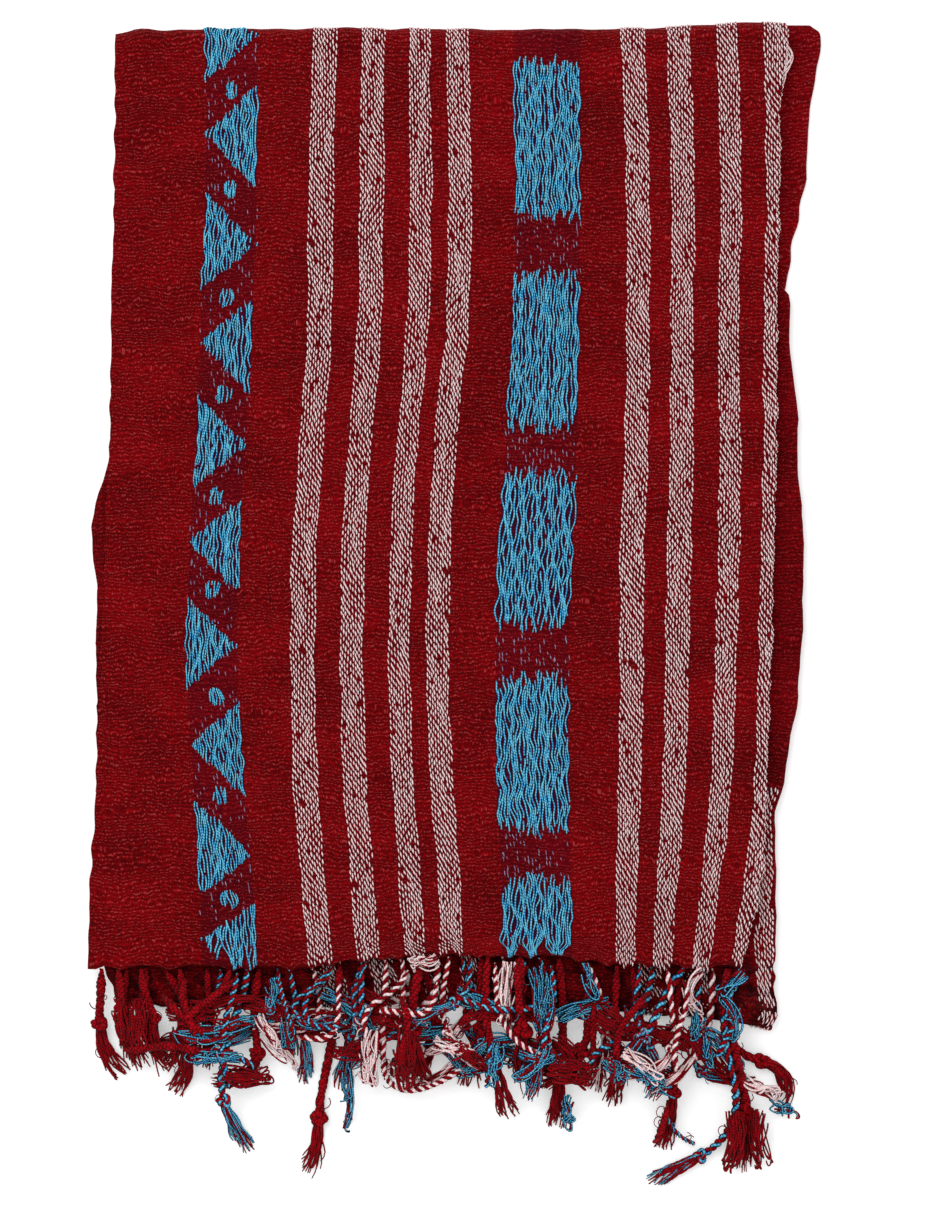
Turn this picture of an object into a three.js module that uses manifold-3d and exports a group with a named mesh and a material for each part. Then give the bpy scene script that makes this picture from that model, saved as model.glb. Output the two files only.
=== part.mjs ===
// A pashmina shawl with a twisted fringe, folded flat: once lengthwise and twice across, eight cloths deep.
// Millimetres, +Z up. The stack of folded cloth lies along Y, with the hems and the fringe towards -Y.
// The lengthwise fold is on the right (+X), the selvedges are on the left (-X).

import * as THREE from 'three';
import { mergeVertices } from 'three/addons/utils/BufferGeometryUtils.js';
import Module from 'manifold-3d';

const wasm = await Module();
wasm.setup();

// ---- Driving dimensions -------------------------------------------------------------------------------

const CLOTH = 1.4;            // thickness of a modelled wall
const PAIR = 3.4;             // height of two cloths lying face to face, folded on the right
const LAYER = 3.75;           // from one pair to the next
const AIR = 0.35;             // between pieces that lie on each other
const TUCK = 15;              // how far an under cloth reaches in below the front one

const HEM_Y = -243;           // cut ends of the cloth
const MIDDLE_FOLD_Y = -268;   // fold between the two lower pairs
const TOP_FOLD_Y = 245;       // fold that wraps the whole stack
const TUCK_Y = -222;          // how far the middle panel reaches in below the hems

const STACK_TOP = 3 * LAYER + PAIR;
const WRAP = (STACK_TOP - AIR) / 2;          // outer radius of the top fold
const WRAP_Y = TOP_FOLD_Y - WRAP;            // centre line of the top fold
const WRAP_Z = STACK_TOP - WRAP;
const MIDDLE_TOP = LAYER + PAIR;             // upper face of the middle panel
const MIDDLE_BEND = PAIR;                    // outer radius of the middle fold
const BEND = PAIR / 2;                       // outer radius of a lengthwise fold

// Edges seen from above. Columns: y, x.
const FRONT_LEFT = [
  [-243, -190.6], [-208, -189.8], [-182, -188.2], [-156, -186.7], [-104, -184.6], [-52, -182.5],
  [0, -181], [31, -178.9], [104, -178.4], [156, -176.8], [245, -176.3],
];
const FRONT_RIGHT = [
  [-243, 148.7], [-229, 151.8], [-208, 157], [-182, 160.7], [-156, 161.7], [-104, 162.8], [-52, 164.8],
  [0, 165.9], [52, 166.9], [112, 166.9], [156, 168], [208, 169], [229, 172.1], [245, 172.6],
];
const LOWER_LEFT = [
  [-268, -176], [-255, -178], [-243, -183], [-208, -186], [-156, -186], [-104, -185.8], [-78, -186.8],
  [-46, -185.8], [-31, -188], [-14, -189], [4, -185], [20, -179.5], [104, -177.5], [245, -175.5],
];
const MIDDLE_RIGHT = [
  [-268, 165.5], [-262, 168.8], [-250, 167.4], [-228, 167.4], [-222, 167.4], [-161, 167.4], [-146, 171.6],
  [-125, 174.7], [-104, 178.9], [-73, 181], [-29, 181.8], [-8, 181.2], [12, 179.4], [44, 178.4],
  [64, 176.8], [85, 174.2], [106, 175.2], [112, 170], [118, 165.4], [156, 165.4], [208, 166.4], [234, 168],
];
const BACK_RIGHT = [
  [-256, 147], [-208, 155.5], [-182, 159], [-104, 161], [0, 164], [88, 166], [104, 170], [112, 173.2],
  [130, 175.2], [146, 179.4], [168, 183.6], [192, 184.6], [213, 187.2], [229, 190.3], [245, 190.8],
];

// How the two ends of the stack wander. Columns: x, y shift.
const TOP_WANDER = [
  [-176, -2.6], [-166, 0], [-60, 0.6], [60, 0], [100, 0.4], [130, 2.6], [150, 3.6], [172, 3.1],
];
const HEM_WANDER = [[-190, 0], [-80, 0], [-40, 5], [0, 7], [50, 6], [80, 2], [150, 0]];
const TOP_WANDER_FROM = 150;  // where the cloth starts to wander towards the top fold
const HEM_WANDER_FROM = -226; // and towards the hems
const HEM_WANDER_TO = -300;   // where the hems' wandering has died away
const MIDDLE_SLANT = -0.0218; // the middle fold drops towards the right, per mm of x

// The stack is pressed thinner towards the selvedges, and lies a little uneven.
const PANEL_WIDTH = 352;
const PRESS_LEFT = 0.2;       // share lost at the selvedges
const PRESS_UNEVEN = 0.03;    // share gained and lost in the uneven places
const UNEVEN_X = 27;          // these are waves of this length over 2 pi across the stack
const UNEVEN_Y = 33;          // and along it
const UNEVEN_START = 1;       // and start at this angle, in radians

// The cloths hidden in the stack, from the floor up. Columns: underside, upper side, plan.
const HIDDEN_CLOTHS = [
  [0, 1.6, 'lower'],
  [1.8, 3.4, 'lower'],
  [3.75, 5.4, 'lower'],
  [5.45, 7.45, 'tucked'],
  [7.5, 9.1, 'upper'],
  [9.3, 10.9, 'upper'],
  [11.25, 12.55, 'under_front'],
];
// A cloth's edge in section. Columns: share of its thickness, inset.
const CLOTH_EDGE = [[0, 1.3], [0.25, 0.1], [0.75, 0.1], [1, 1.3]];

// ---- Fringe -------------------------------------------------------------------------------------------

const ROOT_HALF = 0.8;        // half thickness of the strip that the roots are fused into
const ROOT_Y = HEM_Y - AIR - ROOT_HALF;
const ROOT_SHIFT = 3;         // how far the strips are shifted to the right
const BACK_ROOTS = 8.3;       // height of the strip along the hem of the under end
const FRONT_ROOTS = 12.4;     // and of the end that lies on top
const CORD_AIR = 0.6;         // between a cord and what it lies on
const CORD_STIFF = 7;         // a lifted cord stays up this far to both sides
const CORD_SLOPE = 0.8;       // and then slopes down by this much per mm
const CORD_REACH = 1.3;       // cords this near, in shares of their widths, lie on each other

// A cord's form, in shares of its half thickness. Columns: place, half width, half height.
// Over the twisted part the place is a share of that part.
const TWIST_FORM = [
  [0, 0.4, 0.4], [0.09, 0.8, 0.7], [0.2, 0.8, 0.7], [0.31, 0.8, 0.7], [0.42, 0.8, 0.7], [0.53, 0.8, 0.7],
  [0.64, 0.8, 0.7], [0.76, 0.8, 0.7], [0.88, 0.8, 0.7], [1, 0.8, 0.7],
];
// Over the knot and the tassel it is the distance in mm before the tip.
const END_FORM = [[30, 1.5, 1.2], [25.5, 1.5, 1.2], [23.5, 0.9, 0.8], [12, 1.5, 0.8], [0, 1.9, 0.5]];
const END_LENGTH = 31.5;      // and the twisted part ends this far before it

// The cords. Columns: x of the root, length, half thickness, and how the cord heads at six even stations,
// in degrees from straight away from the hem, positive to the right.
const BACK_CORDS = [
  [-171, 50, 2.4, [-6, -6, 0, 6, 6, 10]],
  [-161, 62, 2.7, [-6, -4, 0, 20, 90, 95]],
  [-151, 70, 2.5, [30, 24, 14, 0, -16, -24]],
  [-129, 52, 2.2, [0, 4, 4, 0, -10, -10]],
  [-122, 64, 2.1, [0, -10, -30, 40, 110, 120]],
  [-102, 74, 2.5, [-10, -6, 4, 0, -60, -100]],
  [-92, 46, 2.1, [-4, 0, 14, 20, 10, 0]],
  [-60, 108, 2.6, [-2, -6, -12, -10, -4, -30]],
  [-48, 64, 2.3, [-14, -20, -4, 0, -14, -6]],
  [-28, 60, 2, [10, 20, -80, -60, 10, 0]],
  [-18, 60, 2.2, [16, 20, 10, -10, -30, -10]],
  [-9, 64, 2.1, [0, -10, -60, -95, -50, 0]],
  [4, 62, 2, [0, 20, -20, 40, 80, 80]],
  [14, 60, 2.6, [-6, 0, 4, -10, -20, -10]],
  [34, 60, 2.2, [20, 40, 6, 0, 20, 30]],
  [54, 80, 2.7, [6, 4, 0, -6, -4, -8]],
  [70, 70, 2.6, [0, -4, 0, -30, -60, -80]],
  [92, 56, 2.4, [8, 8, 10, 8, 0, -10]],
  [103, 62, 2.2, [-6, -20, -20, 20, 50, 60]],
  [118, 90, 2.2, [-10, -8, 0, 0, -10, -16]],
  [128, 80, 2, [-10, -6, -8, 30, 95, 95]],
  [143, 80, 2.6, [-14, -6, 30, 80, 40, -40]],
];
const FRONT_CORDS = [
  [-184, 60, 2.5, [-1, -2, -3, 6, 24, 40]],
  [-175, 54, 2.3, [4, 6, 10, 14, 16, 20]],
  [-163, 56, 2.5, [0, 12, 18, 0, 20, 40]],
  [-143, 54, 2.3, [6, 8, 0, -6, -10, -20]],
  [-117, 58, 2.4, [-10, -30, -44, -36, -10, 0]],
  [-108, 100, 2.3, [-6, -16, -16, -2, 24, 30]],
  [-86, 60, 2, [8, 10, 16, 10, 0, 0]],
  [-74, 60, 1.9, [16, 10, -10, -80, -95, -80]],
  [-64, 62, 2, [-10, -60, -40, 50, 95, 80]],
  [-46, 56, 2, [-20, -24, 10, 20, -10, -60]],
  [-36, 96, 2, [0, -2, -4, 50, 110, 120]],
  [-27, 78, 1.8, [0, 0, -2, 70, 130, 140]],
  [-17, 60, 3, [-14, -14, -6, 6, 10, 20]],
  [-3, 62, 1.8, [-10, -12, 6, 30, 60, 70]],
  [8, 52, 1.8, [0, -10, -50, -80, -70, -60]],
  [17, 76, 2.6, [-6, -3, 10, 14, 14, 20]],
  [25, 70, 2, [0, -10, 30, 60, 60, 20]],
  [34, 60, 3.2, [-6, 0, 6, 0, 10, 20]],
  [44, 66, 2.2, [14, 20, -10, -20, -10, -20]],
  [69, 62, 2.1, [20, 26, 10, -4, -12, -14]],
  [84, 68, 2.4, [0, -4, 2, 6, -6, -20]],
  [96, 66, 2, [-6, -10, 20, 30, 0, -30]],
  [119, 66, 2.5, [-40, -36, -28, -40, -30, 0]],
  [110, 66, 1.9, [8, 6, 4, -20, -70, -90]],
  [141, 98, 3.3, [0, 6, 14, 12, -6, -8]],
  [134, 70, 2.1, [0, -4, -16, -36, -50, -60]],
  [148, 132, 2.3, [-40, 0, 14, -20, -60, -54]],
];

// ---- Materials ----------------------------------------------------------------------------------------

const wool = (name, color) => {
  const material = new THREE.MeshStandardMaterial({ color, roughness: 0.9, metalness: 0 });
  material.name = name;
  return material;
};
const crepeRed = wool('crepe_wool', 0x6a0a0e);
const underRed = wool('under_wool', 0x5e0b0f);
const fringeRed = wool('fringe_yarn', 0x6e1820);
const fringeDark = wool('fringe_yarn', 0x571218);

// ---- Small helpers ------------------------------------------------------------------------------------

const { lerp, clamp, smoothstep, degToRad } = THREE.MathUtils;

// A table of (place, value) rows, read as a line between its rows.
function reading(table, column = 1) {
  const places = table.map((row) => row[0]);
  const values = table.map((row) => row[column]);
  const line = new THREE.LinearInterpolant(places, values, 1, [0]);
  return (place) => line.evaluate(place)[0];
}

const frontLeft = reading(FRONT_LEFT);
const frontRight = reading(FRONT_RIGHT);
const lowerLeft = reading(LOWER_LEFT);
const backRight = reading(BACK_RIGHT);
const topWander = reading(TOP_WANDER);
const hemWander = reading(HEM_WANDER);

// Lays a point of the square, even stack where the wandering, pressed stack has it.
function laid(point) {
  const { x, y, z } = point;
  const nearTop = smoothstep(y, TOP_WANDER_FROM, TOP_FOLD_Y);
  const nearHem = y > HEM_Y
    ? smoothstep(-y, -HEM_WANDER_FROM, -HEM_Y)
    : 1 - smoothstep(-y, -HEM_Y, -HEM_WANDER_TO);
  const pastHem = smoothstep(-y, -HEM_Y, -MIDDLE_FOLD_Y);
  const shift = topWander(x) * nearTop + hemWander(x) * nearHem + MIDDLE_SLANT * x * pastHem;
  const fromFold = (PANEL_WIDTH / 2 - x) / PANEL_WIDTH;
  const uneven = Math.sin(x / UNEVEN_X) * Math.sin(y / UNEVEN_Y + UNEVEN_START);
  return new THREE.Vector3(x, y + shift, z * (1 - PRESS_LEFT * fromFold ** 2 - PRESS_UNEVEN * uneven));
}

// A closed solid through rings of equally many points. A ring of two matching lines, out along one and back
// along the other, is closed like a ladder between them; a `round` one is closed by a fan from its middle.
function throughRings(rings, round = false) {
  const count = rings[0].length;
  const points = rings.flat();
  const faces = [];
  for (let ring = 0; ring + 1 < rings.length; ring++) {
    for (let k = 0; k < count; k++) {
      const a = ring * count + k;
      const b = ring * count + (k + 1) % count;
      faces.push(a, b, b + count, a, b + count, a + count);
    }
  }
  const closeEnd = (start, backwards) => {
    const end = [];
    if (round) {
      const middle = points.slice(start, start + count)
        .reduce((sum, point) => sum.add(point), new THREE.Vector3()).divideScalar(count);
      points.push(middle);
      for (let k = 0; k < count; k++) end.push(start + k, start + (k + 1) % count, points.length - 1);
    } else {
      for (let k = 0; k + 1 < count / 2; k++) {
        const [near, next] = [start + k, start + k + 1];
        const [across, acrossNext] = [start + count - 1 - k, start + count - 2 - k];
        end.push(near, next, acrossNext, near, acrossNext, across);
      }
    }
    faces.push(...(backwards ? end.reverse() : end));
  };
  closeEnd(0, true);
  closeEnd((rings.length - 1) * count, false);
  return facingOut(points, faces);
}

// Turns the faces over if they enclose a negative volume.
function facingOut(points, faces) {
  let volume = 0;
  for (let f = 0; f < faces.length; f += 3) {
    const [a, b, c] = [points[faces[f]], points[faces[f + 1]], points[faces[f + 2]]];
    volume += a.dot(b.clone().cross(c));
  }
  const geometry = new THREE.BufferGeometry().setFromPoints(points);
  geometry.setIndex(volume < 0 ? faces.slice().reverse() : faces);
  return geometry;
}

function named(name, geometry, material) {
  const mesh = new THREE.Mesh(geometry, material);
  mesh.name = name;
  return mesh;
}

// ---- Folded panels ------------------------------------------------------------------------------------

const COLUMNS = 12;           // across the flat of a panel
const ARC_STEPS = 5;          // round its lengthwise fold

// Section of a cloth that lies flat, rolls over its right fold and runs back below:
// points (x, h), with h = 0 on its upper face. `turn` is how far it rolls, `back` how far it then runs on.
function foldedSection(left, right, turn, back, columns) {
  const outer = [];
  const inner = [];
  const crest = right - BEND;
  for (let i = 0; i <= columns; i++) {
    const x = lerp(left, crest, i / columns);
    outer.push([x, 0]);
    inner.push([x, -CLOTH]);
  }
  for (let i = 1; i <= ARC_STEPS; i++) {
    const angle = turn * i / ARC_STEPS;
    const on = (radius) => [crest + radius * Math.sin(angle), radius * Math.cos(angle) - BEND];
    outer.push(on(BEND));
    inner.push(on(BEND - CLOTH));
  }
  for (const line of [outer, inner]) {
    const [x, h] = line.at(-1);
    line.push([x + back * Math.cos(turn), h - back * Math.sin(turn)]);
  }
  return [...outer, ...inner.reverse()];
}

// Sweeps sections along Y. A row's section lies at height `top`, or, past a fold across the cloth, is turned
// by `angle` round the fold's line: a point h above the cloth is then on a circle of radius + h.
function sweptPanel(rows) {
  const rings = rows.map(({ section, y, top, fold, angle, towards }) => section.map(([x, h]) => {
    if (!fold) return laid(new THREE.Vector3(x, y, top + h));
    const radius = fold.radius + h;
    return laid(new THREE.Vector3(
      x,
      fold.y + towards * radius * Math.sin(angle),
      fold.z + radius * Math.cos(angle),
    ));
  }));
  return throughRings(rings);
}

// The end of the shawl that lies on top. It rolls over the lengthwise fold on its right,
// and over the top fold down to the floor, where its corner draws in and bares the back panel.
function frontPanel() {
  const ROWS = 22;
  const RUN_BACK = 11;
  const WRAP_ANGLES = [0, 25, 50, 75, 100, 122, 144, 163];
  const CORNER_DRAW = 17;
  const CORNER_FROM = 75;       // degrees round the top fold where the corner starts to draw in
  const CORNER_TO = 100;
  const rows = [];
  const section = (y, drawn = 0) =>
    foldedSection(frontLeft(y), frontRight(y) - drawn, Math.PI, RUN_BACK, COLUMNS);
  for (let i = 0; i < ROWS; i++) {
    const y = lerp(HEM_Y, WRAP_Y, i / ROWS);
    rows.push({ section: section(y), y, top: STACK_TOP });
  }
  const fold = { radius: WRAP, y: WRAP_Y, z: WRAP_Z };
  for (const degrees of WRAP_ANGLES) {
    const drawn = CORNER_DRAW * smoothstep(degrees, CORNER_FROM, CORNER_TO);
    rows.push({ section: section(TOP_FOLD_Y, drawn), fold, angle: degToRad(degrees), towards: 1 });
  }
  return named('front_panel', sweptPanel(rows), crepeRed);
}

// The cloth with the middle fold. It shows along the right side and below the hems,
// reaches in under the front by TUCK, and rolls over the middle fold to the floor.
function middlePanel() {
  const RUN_BACK = 11;
  const LOOSE_RUN = 0.2;        // how far it runs back where its lengthwise fold has opened
  const STRAIGHTENS_Y = -250;   // from here down that fold opens
  const LEFT_INSET = 0.5;
  const ROLL_ANGLES = [0, 27, 54, 81, 108, 135];
  const [[, foldRight], [, rollRight]] = MIDDLE_RIGHT;
  const rows = [];
  const rollStart = MIDDLE_FOLD_Y + MIDDLE_BEND;
  const stations = MIDDLE_RIGHT.filter(([y]) => y > rollStart).reverse();
  for (const [y, right] of stations) {
    const left = y < TUCK_Y ? lowerLeft(y) + LEFT_INSET : frontRight(y) - TUCK;
    const loose = smoothstep(-y, -STRAIGHTENS_Y, -rollStart);
    const turn = lerp(Math.PI, Math.PI / 2, loose);
    const back = lerp(RUN_BACK, LOOSE_RUN, loose);
    rows.push({ section: foldedSection(left, right, turn, back, COLUMNS), y, top: MIDDLE_TOP });
  }
  const fold = { radius: MIDDLE_BEND, y: rollStart, z: MIDDLE_TOP - MIDDLE_BEND };
  for (const degrees of ROLL_ANGLES) {
    const y = lerp(rollStart, MIDDLE_FOLD_Y, Math.sin(degToRad(degrees)));
    const right = lerp(rollRight, foldRight, smoothstep(degrees, 0, 90));
    const section = foldedSection(lowerLeft(y) + LEFT_INSET, right, Math.PI / 2, LOOSE_RUN, COLUMNS);
    rows.push({ section, fold, angle: degToRad(degrees), towards: -1 });
  }
  return named('middle_panel', sweptPanel(rows), underRed);
}

// The cloth nearest the floor. Its lengthwise fold swings out at the top right as a plain tongue.
function backPanel() {
  const FEW_COLUMNS = 3;
  const RUN_BACK = 10;
  const rows = BACK_RIGHT.map(([y, right]) => ({
    section: foldedSection(frontRight(y) - TUCK, right, Math.PI, RUN_BACK, FEW_COLUMNS),
    y,
    top: PAIR,
  }));
  return named('back_panel', sweptPanel(rows), underRed);
}

// ---- The hidden cloths --------------------------------------------------------------------------------

// What bounds a hidden cloth in plan, by where it lies in the stack: the line that it ends at and how far
// inside it, the same on its left, and how far its right side is drawn in from the front panel's.
const PLANS = {
  lower: { end: MIDDLE_FOLD_Y, endInset: 4.6, left: lowerLeft, leftInset: 0, drawnIn: 17.5 },
  tucked: { end: TUCK_Y, endInset: 1, left: lowerLeft, leftInset: 0, drawnIn: 17.5 },
  upper: { end: HEM_Y, endInset: 1.5, left: frontLeft, leftInset: 1, drawnIn: 1.5 },
  under_front: { end: HEM_Y, endInset: 1, left: frontLeft, leftInset: 0.6, drawnIn: 13.5 },
};

// The cloths inside the folds share this one solid: closed outlines stacked in Z, drawn in where two cloths
// meet, so that the edges show as layers. Its top end is rounded to lie inside the top fold.
function foldedCore() {
  const ROWS = 17;
  const END_COLUMNS = 9;
  const CORNER_ROOM = 32;       // left free for the front panel's corner, which draws in over the top fold
  const CORNER_FROM_Y = 205;
  const CORNER_TO_Y = WRAP_Y - 2;
  const TOP_CLEAR = 1;          // more room inside the top fold
  const CROWN_INSETS = [25, 60, 110];   // rings on the uppermost face, towards its middle
  const inWrap = WRAP - CLOTH - AIR;

  const outline = (z, planName, leftInset, rightInset) => {
    const plan = PLANS[planName];
    const bottom = plan.end + plan.endInset + leftInset;
    const top = WRAP_Y - TOP_CLEAR + Math.sqrt(Math.max(0, inWrap ** 2 - (z - WRAP_Z) ** 2));
    const left = (y) => plan.left(y) + plan.leftInset + leftInset;
    const right = (y) => {
      const corner = CORNER_ROOM * smoothstep(y, CORNER_FROM_Y, CORNER_TO_Y);
      return frontRight(y) - plan.drawnIn - rightInset - corner;
    };
    const points = [];
    const add = (x, y) => points.push(laid(new THREE.Vector3(x, y, z)));
    for (let i = 0; i < END_COLUMNS; i++) add(lerp(left(bottom), right(bottom), i / END_COLUMNS), bottom);
    for (let i = 0; i < ROWS; i++) {
      const y = lerp(bottom, top, i / ROWS);
      add(right(y), y);
    }
    for (let i = 0; i < END_COLUMNS; i++) add(lerp(right(top), left(top), i / END_COLUMNS), top);
    for (let i = 0; i < ROWS; i++) {
      const y = lerp(top, bottom, i / ROWS);
      add(left(y), y);
    }
    return points;
  };

  // On the right the hidden cloths are folded in pairs, so there a pair has one round edge.
  const rounded = (z) => {
    const share = clamp((z % LAYER) / PAIR, 0, 1);
    return BEND * (1 - Math.sqrt(Math.max(0, 1 - (1 - 2 * share) ** 2)));
  };

  const rings = [];
  for (const [underside, upperSide, plan] of HIDDEN_CLOTHS) {
    for (const [share, inset] of CLOTH_EDGE) {
      const z = lerp(underside, upperSide, share);
      rings.push(outline(z, plan, inset, rounded(z)));
    }
  }
  const [, crown, plan] = HIDDEN_CLOTHS.at(-1);
  for (const inset of CROWN_INSETS) rings.push(outline(crown, plan, inset, inset));
  return named('folded_core', throughRings(rings, true), underRed);
}

// ---- Fringe -------------------------------------------------------------------------------------------

// A cord's way in plan: it sets out from its root and turns smoothly from one heading to the next.
// Its stations are the rows of its form, and it runs straight from each to the next.
function cordStations([x, length, half, headings]) {
  const STEPS = 200;
  const places = headings.map((_, i) => i / (headings.length - 1));
  const turning = new THREE.CubicInterpolant(places, headings, 1, [0]);
  const step = length / STEPS;
  const place = new THREE.Vector2(x, ROOT_Y);
  const way = [place.clone()];
  for (let i = 0; i < STEPS; i++) {
    const heading = degToRad(turning.evaluate(i / STEPS)[0]);
    place.x += step * Math.sin(heading);
    place.y -= step * Math.cos(heading);
    way.push(place.clone());
  }
  const form = [
    ...TWIST_FORM.map(([place, wide, high]) => [place * (1 - END_LENGTH / length), wide, high]),
    ...END_FORM.map(([place, wide, high]) => [1 - place / length, wide, high]),
  ];
  return form.map(([share, wide, high]) => {
    const at = way[Math.round(share * STEPS)];
    return { x: at.x, y: at.y, z: 0, along: share * length, wide: half * wide, high: half * high };
  });
}

// Points along a cord, close enough together to feel what it lies on.
function feelers(stations) {
  const PER_SEGMENT = 5;
  const points = [];
  for (let i = 0; i + 1 < stations.length; i++) {
    const [here, next] = [stations[i], stations[i + 1]];
    for (let k = 0; k < PER_SEGMENT; k++) {
      const point = {};
      for (const key of Object.keys(here)) point[key] = lerp(here[key], next[key], k / PER_SEGMENT);
      points.push(point);
    }
  }
  points.push({ ...stations.at(-1) });
  return points;
}

// Lets a cord down onto the floor, the middle panel and every cord that lies there already.
// Where something is below, it is lifted over it, and it slopes down again to both sides.
function letDown(stations, rootHeight, lying) {
  const needs = feelers(stations).map((here) => {
    const ground = here.y > MIDDLE_FOLD_Y - here.wide ? MIDDLE_TOP : 0;
    let need = ground + here.high + CORD_AIR;
    for (const other of lying) {
      const apart = Math.hypot(here.x - other.x, here.y - other.y);
      const reach = CORD_REACH * (here.wide + other.wide + CORD_AIR);
      if (apart >= reach) continue;
      const over = here.high + other.high + CORD_AIR;
      need = Math.max(need, other.z + over * Math.sqrt(1 - (apart / reach) ** 2));
    }
    return { along: here.along, need };
  });
  for (const station of stations) {
    const slopes = needs.map(({ along, need }) =>
      need - CORD_SLOPE * Math.max(0, Math.abs(along - station.along) - CORD_STIFF));
    station.z = Math.max(...slopes);
  }
  stations[0].z = rootHeight;
  return stations;
}

// The corners of a four-sided strand or strip. Columns: aside, up.
const CORNERS = [[-1, -1], [1, -1], [1, 1], [-1, 1]];

// One strand: a four-sided tube through the cord's stations.
function strand(stations) {
  const places = stations.map(({ x, y, z }) => new THREE.Vector3(x, y, z));
  const rings = stations.map(({ wide, high }, i) => {
    const before = places[Math.max(i - 1, 0)];
    const after = places[Math.min(i + 1, places.length - 1)];
    const along = after.clone().sub(before).normalize();
    const aside = new THREE.Vector3(-along.y, along.x, 0).normalize();
    const up = new THREE.Vector3().crossVectors(along, aside);
    return CORNERS.map(([side, rise]) =>
      laid(places[i].clone().addScaledVector(aside, side * wide).addScaledVector(up, rise * high)));
  });
  return throughRings(rings);
}

// The narrow strip along a hem that the roots are fused into.
function rootStrip(height) {
  const STEPS = 16;
  const rings = [];
  for (let i = 0; i <= STEPS; i++) {
    const x = ROOT_SHIFT + lerp(frontLeft(HEM_Y), frontRight(HEM_Y), i / STEPS);
    rings.push(CORNERS.map(([side, rise]) =>
      laid(new THREE.Vector3(x, ROOT_Y + side * ROOT_HALF, height + rise * ROOT_HALF))));
  }
  return throughRings(rings);
}

function asManifold(geometry) {
  const MERGE_WITHIN = 1e-4;
  const bare = geometry.clone();
  bare.deleteAttribute('normal');
  bare.deleteAttribute('uv');
  const merged = mergeVertices(bare, MERGE_WITHIN);
  return new wasm.Manifold(new wasm.Mesh({
    numProp: 3,
    vertProperties: new Float32Array(merged.attributes.position.array),
    triVerts: new Uint32Array(merged.index.array),
  }));
}

function fromManifold(solid) {
  const { vertProperties, triVerts } = solid.getMesh();
  const geometry = new THREE.BufferGeometry();
  geometry.setAttribute('position', new THREE.BufferAttribute(vertProperties, 3));
  geometry.setIndex(new THREE.BufferAttribute(triVerts, 1));
  return geometry;
}

// A hem's fringe: its cords, let down one after another, fused to their strip.
function fringe(name, cords, rootHeight, lying, material) {
  let solid = asManifold(rootStrip(rootHeight));
  for (const cord of cords) {
    const stations = letDown(cordStations(cord), rootHeight, lying);
    lying.push(...feelers(stations));
    solid = solid.add(asManifold(strand(stations)));
  }
  return named(name, fromManifold(solid), material);
}

// ---- The shawl ----------------------------------------------------------------------------------------

const lying = [];
const shawl = new THREE.Group();
shawl.add(
  foldedCore(),
  backPanel(),
  middlePanel(),
  frontPanel(),
  fringe('back_fringe', BACK_CORDS, BACK_ROOTS, lying, fringeDark),
  fringe('front_fringe', FRONT_CORDS, FRONT_ROOTS, lying, fringeRed),
);

// The part's origin is the middle of its box, on the floor.
const box = new THREE.Box3().setFromObject(shawl);
const middle = box.getCenter(new THREE.Vector3());
shawl.position.set(-middle.x, -middle.y, 0);

export default shawl;
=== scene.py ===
"""A pashmina shawl, folded flat, dressed over its frame.

The shawl is folded once lengthwise, with that fold on the right, and twice across. So it lies as four
pairs of cloths, and the end that lies on top rolls over the top fold and down to the floor. Crepe red
cloth carries float stripes of white yarn, a band of blue blocks and a border of blue triangles.
Twisted fringe hangs from both hems.

All lengths are millimetres in the maker's frame: X across the folded cloth, Y away from the hems, Z
up from the floor. Piece.finished turns them to metres and moves them onto the frame.
"""

import bpy
import numpy as np
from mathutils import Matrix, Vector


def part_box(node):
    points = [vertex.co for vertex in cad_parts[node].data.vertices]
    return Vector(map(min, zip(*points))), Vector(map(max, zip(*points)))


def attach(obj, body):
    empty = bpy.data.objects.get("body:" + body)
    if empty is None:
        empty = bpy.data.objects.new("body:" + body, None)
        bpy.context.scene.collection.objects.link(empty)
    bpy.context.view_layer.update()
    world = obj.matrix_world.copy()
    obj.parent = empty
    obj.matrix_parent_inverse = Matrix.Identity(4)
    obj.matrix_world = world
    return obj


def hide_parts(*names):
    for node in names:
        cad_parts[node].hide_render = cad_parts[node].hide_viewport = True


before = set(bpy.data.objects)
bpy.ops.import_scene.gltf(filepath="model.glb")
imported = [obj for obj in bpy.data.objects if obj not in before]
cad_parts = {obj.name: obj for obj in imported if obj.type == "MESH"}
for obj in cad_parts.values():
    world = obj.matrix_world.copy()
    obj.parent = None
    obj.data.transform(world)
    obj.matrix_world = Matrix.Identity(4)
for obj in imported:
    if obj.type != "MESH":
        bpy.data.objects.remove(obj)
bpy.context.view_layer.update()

# ---- Driving dimensions, as in the frame --------------------------------------------------------------

PAIR = 3.4                    # height of two cloths lying face to face
LAYER = 3.75                  # from one pair to the next
AIR = 0.35                    # between pieces that lie on each other
WOOL = 0.9                    # thickness of the cloth
BEND = PAIR / 2               # outer radius of a lengthwise fold
HEM_Y = -243                  # cut ends of the cloth
MIDDLE_FOLD_Y = -268          # fold between the two lower pairs
TOP_FOLD_Y = 245              # fold that wraps the whole stack
BACK_TOP = PAIR               # upper faces of the four pairs, from the floor up
MIDDLE_TOP = LAYER + PAIR
INNER_TOP = 2 * LAYER + PAIR
FRONT_TOP = 3 * LAYER + PAIR
WRAP = (FRONT_TOP - AIR) / 2  # outer radius of the top fold
WRAP_Y = TOP_FOLD_Y - WRAP    # where the front starts to roll over
PANEL_WIDTH = 352

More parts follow.
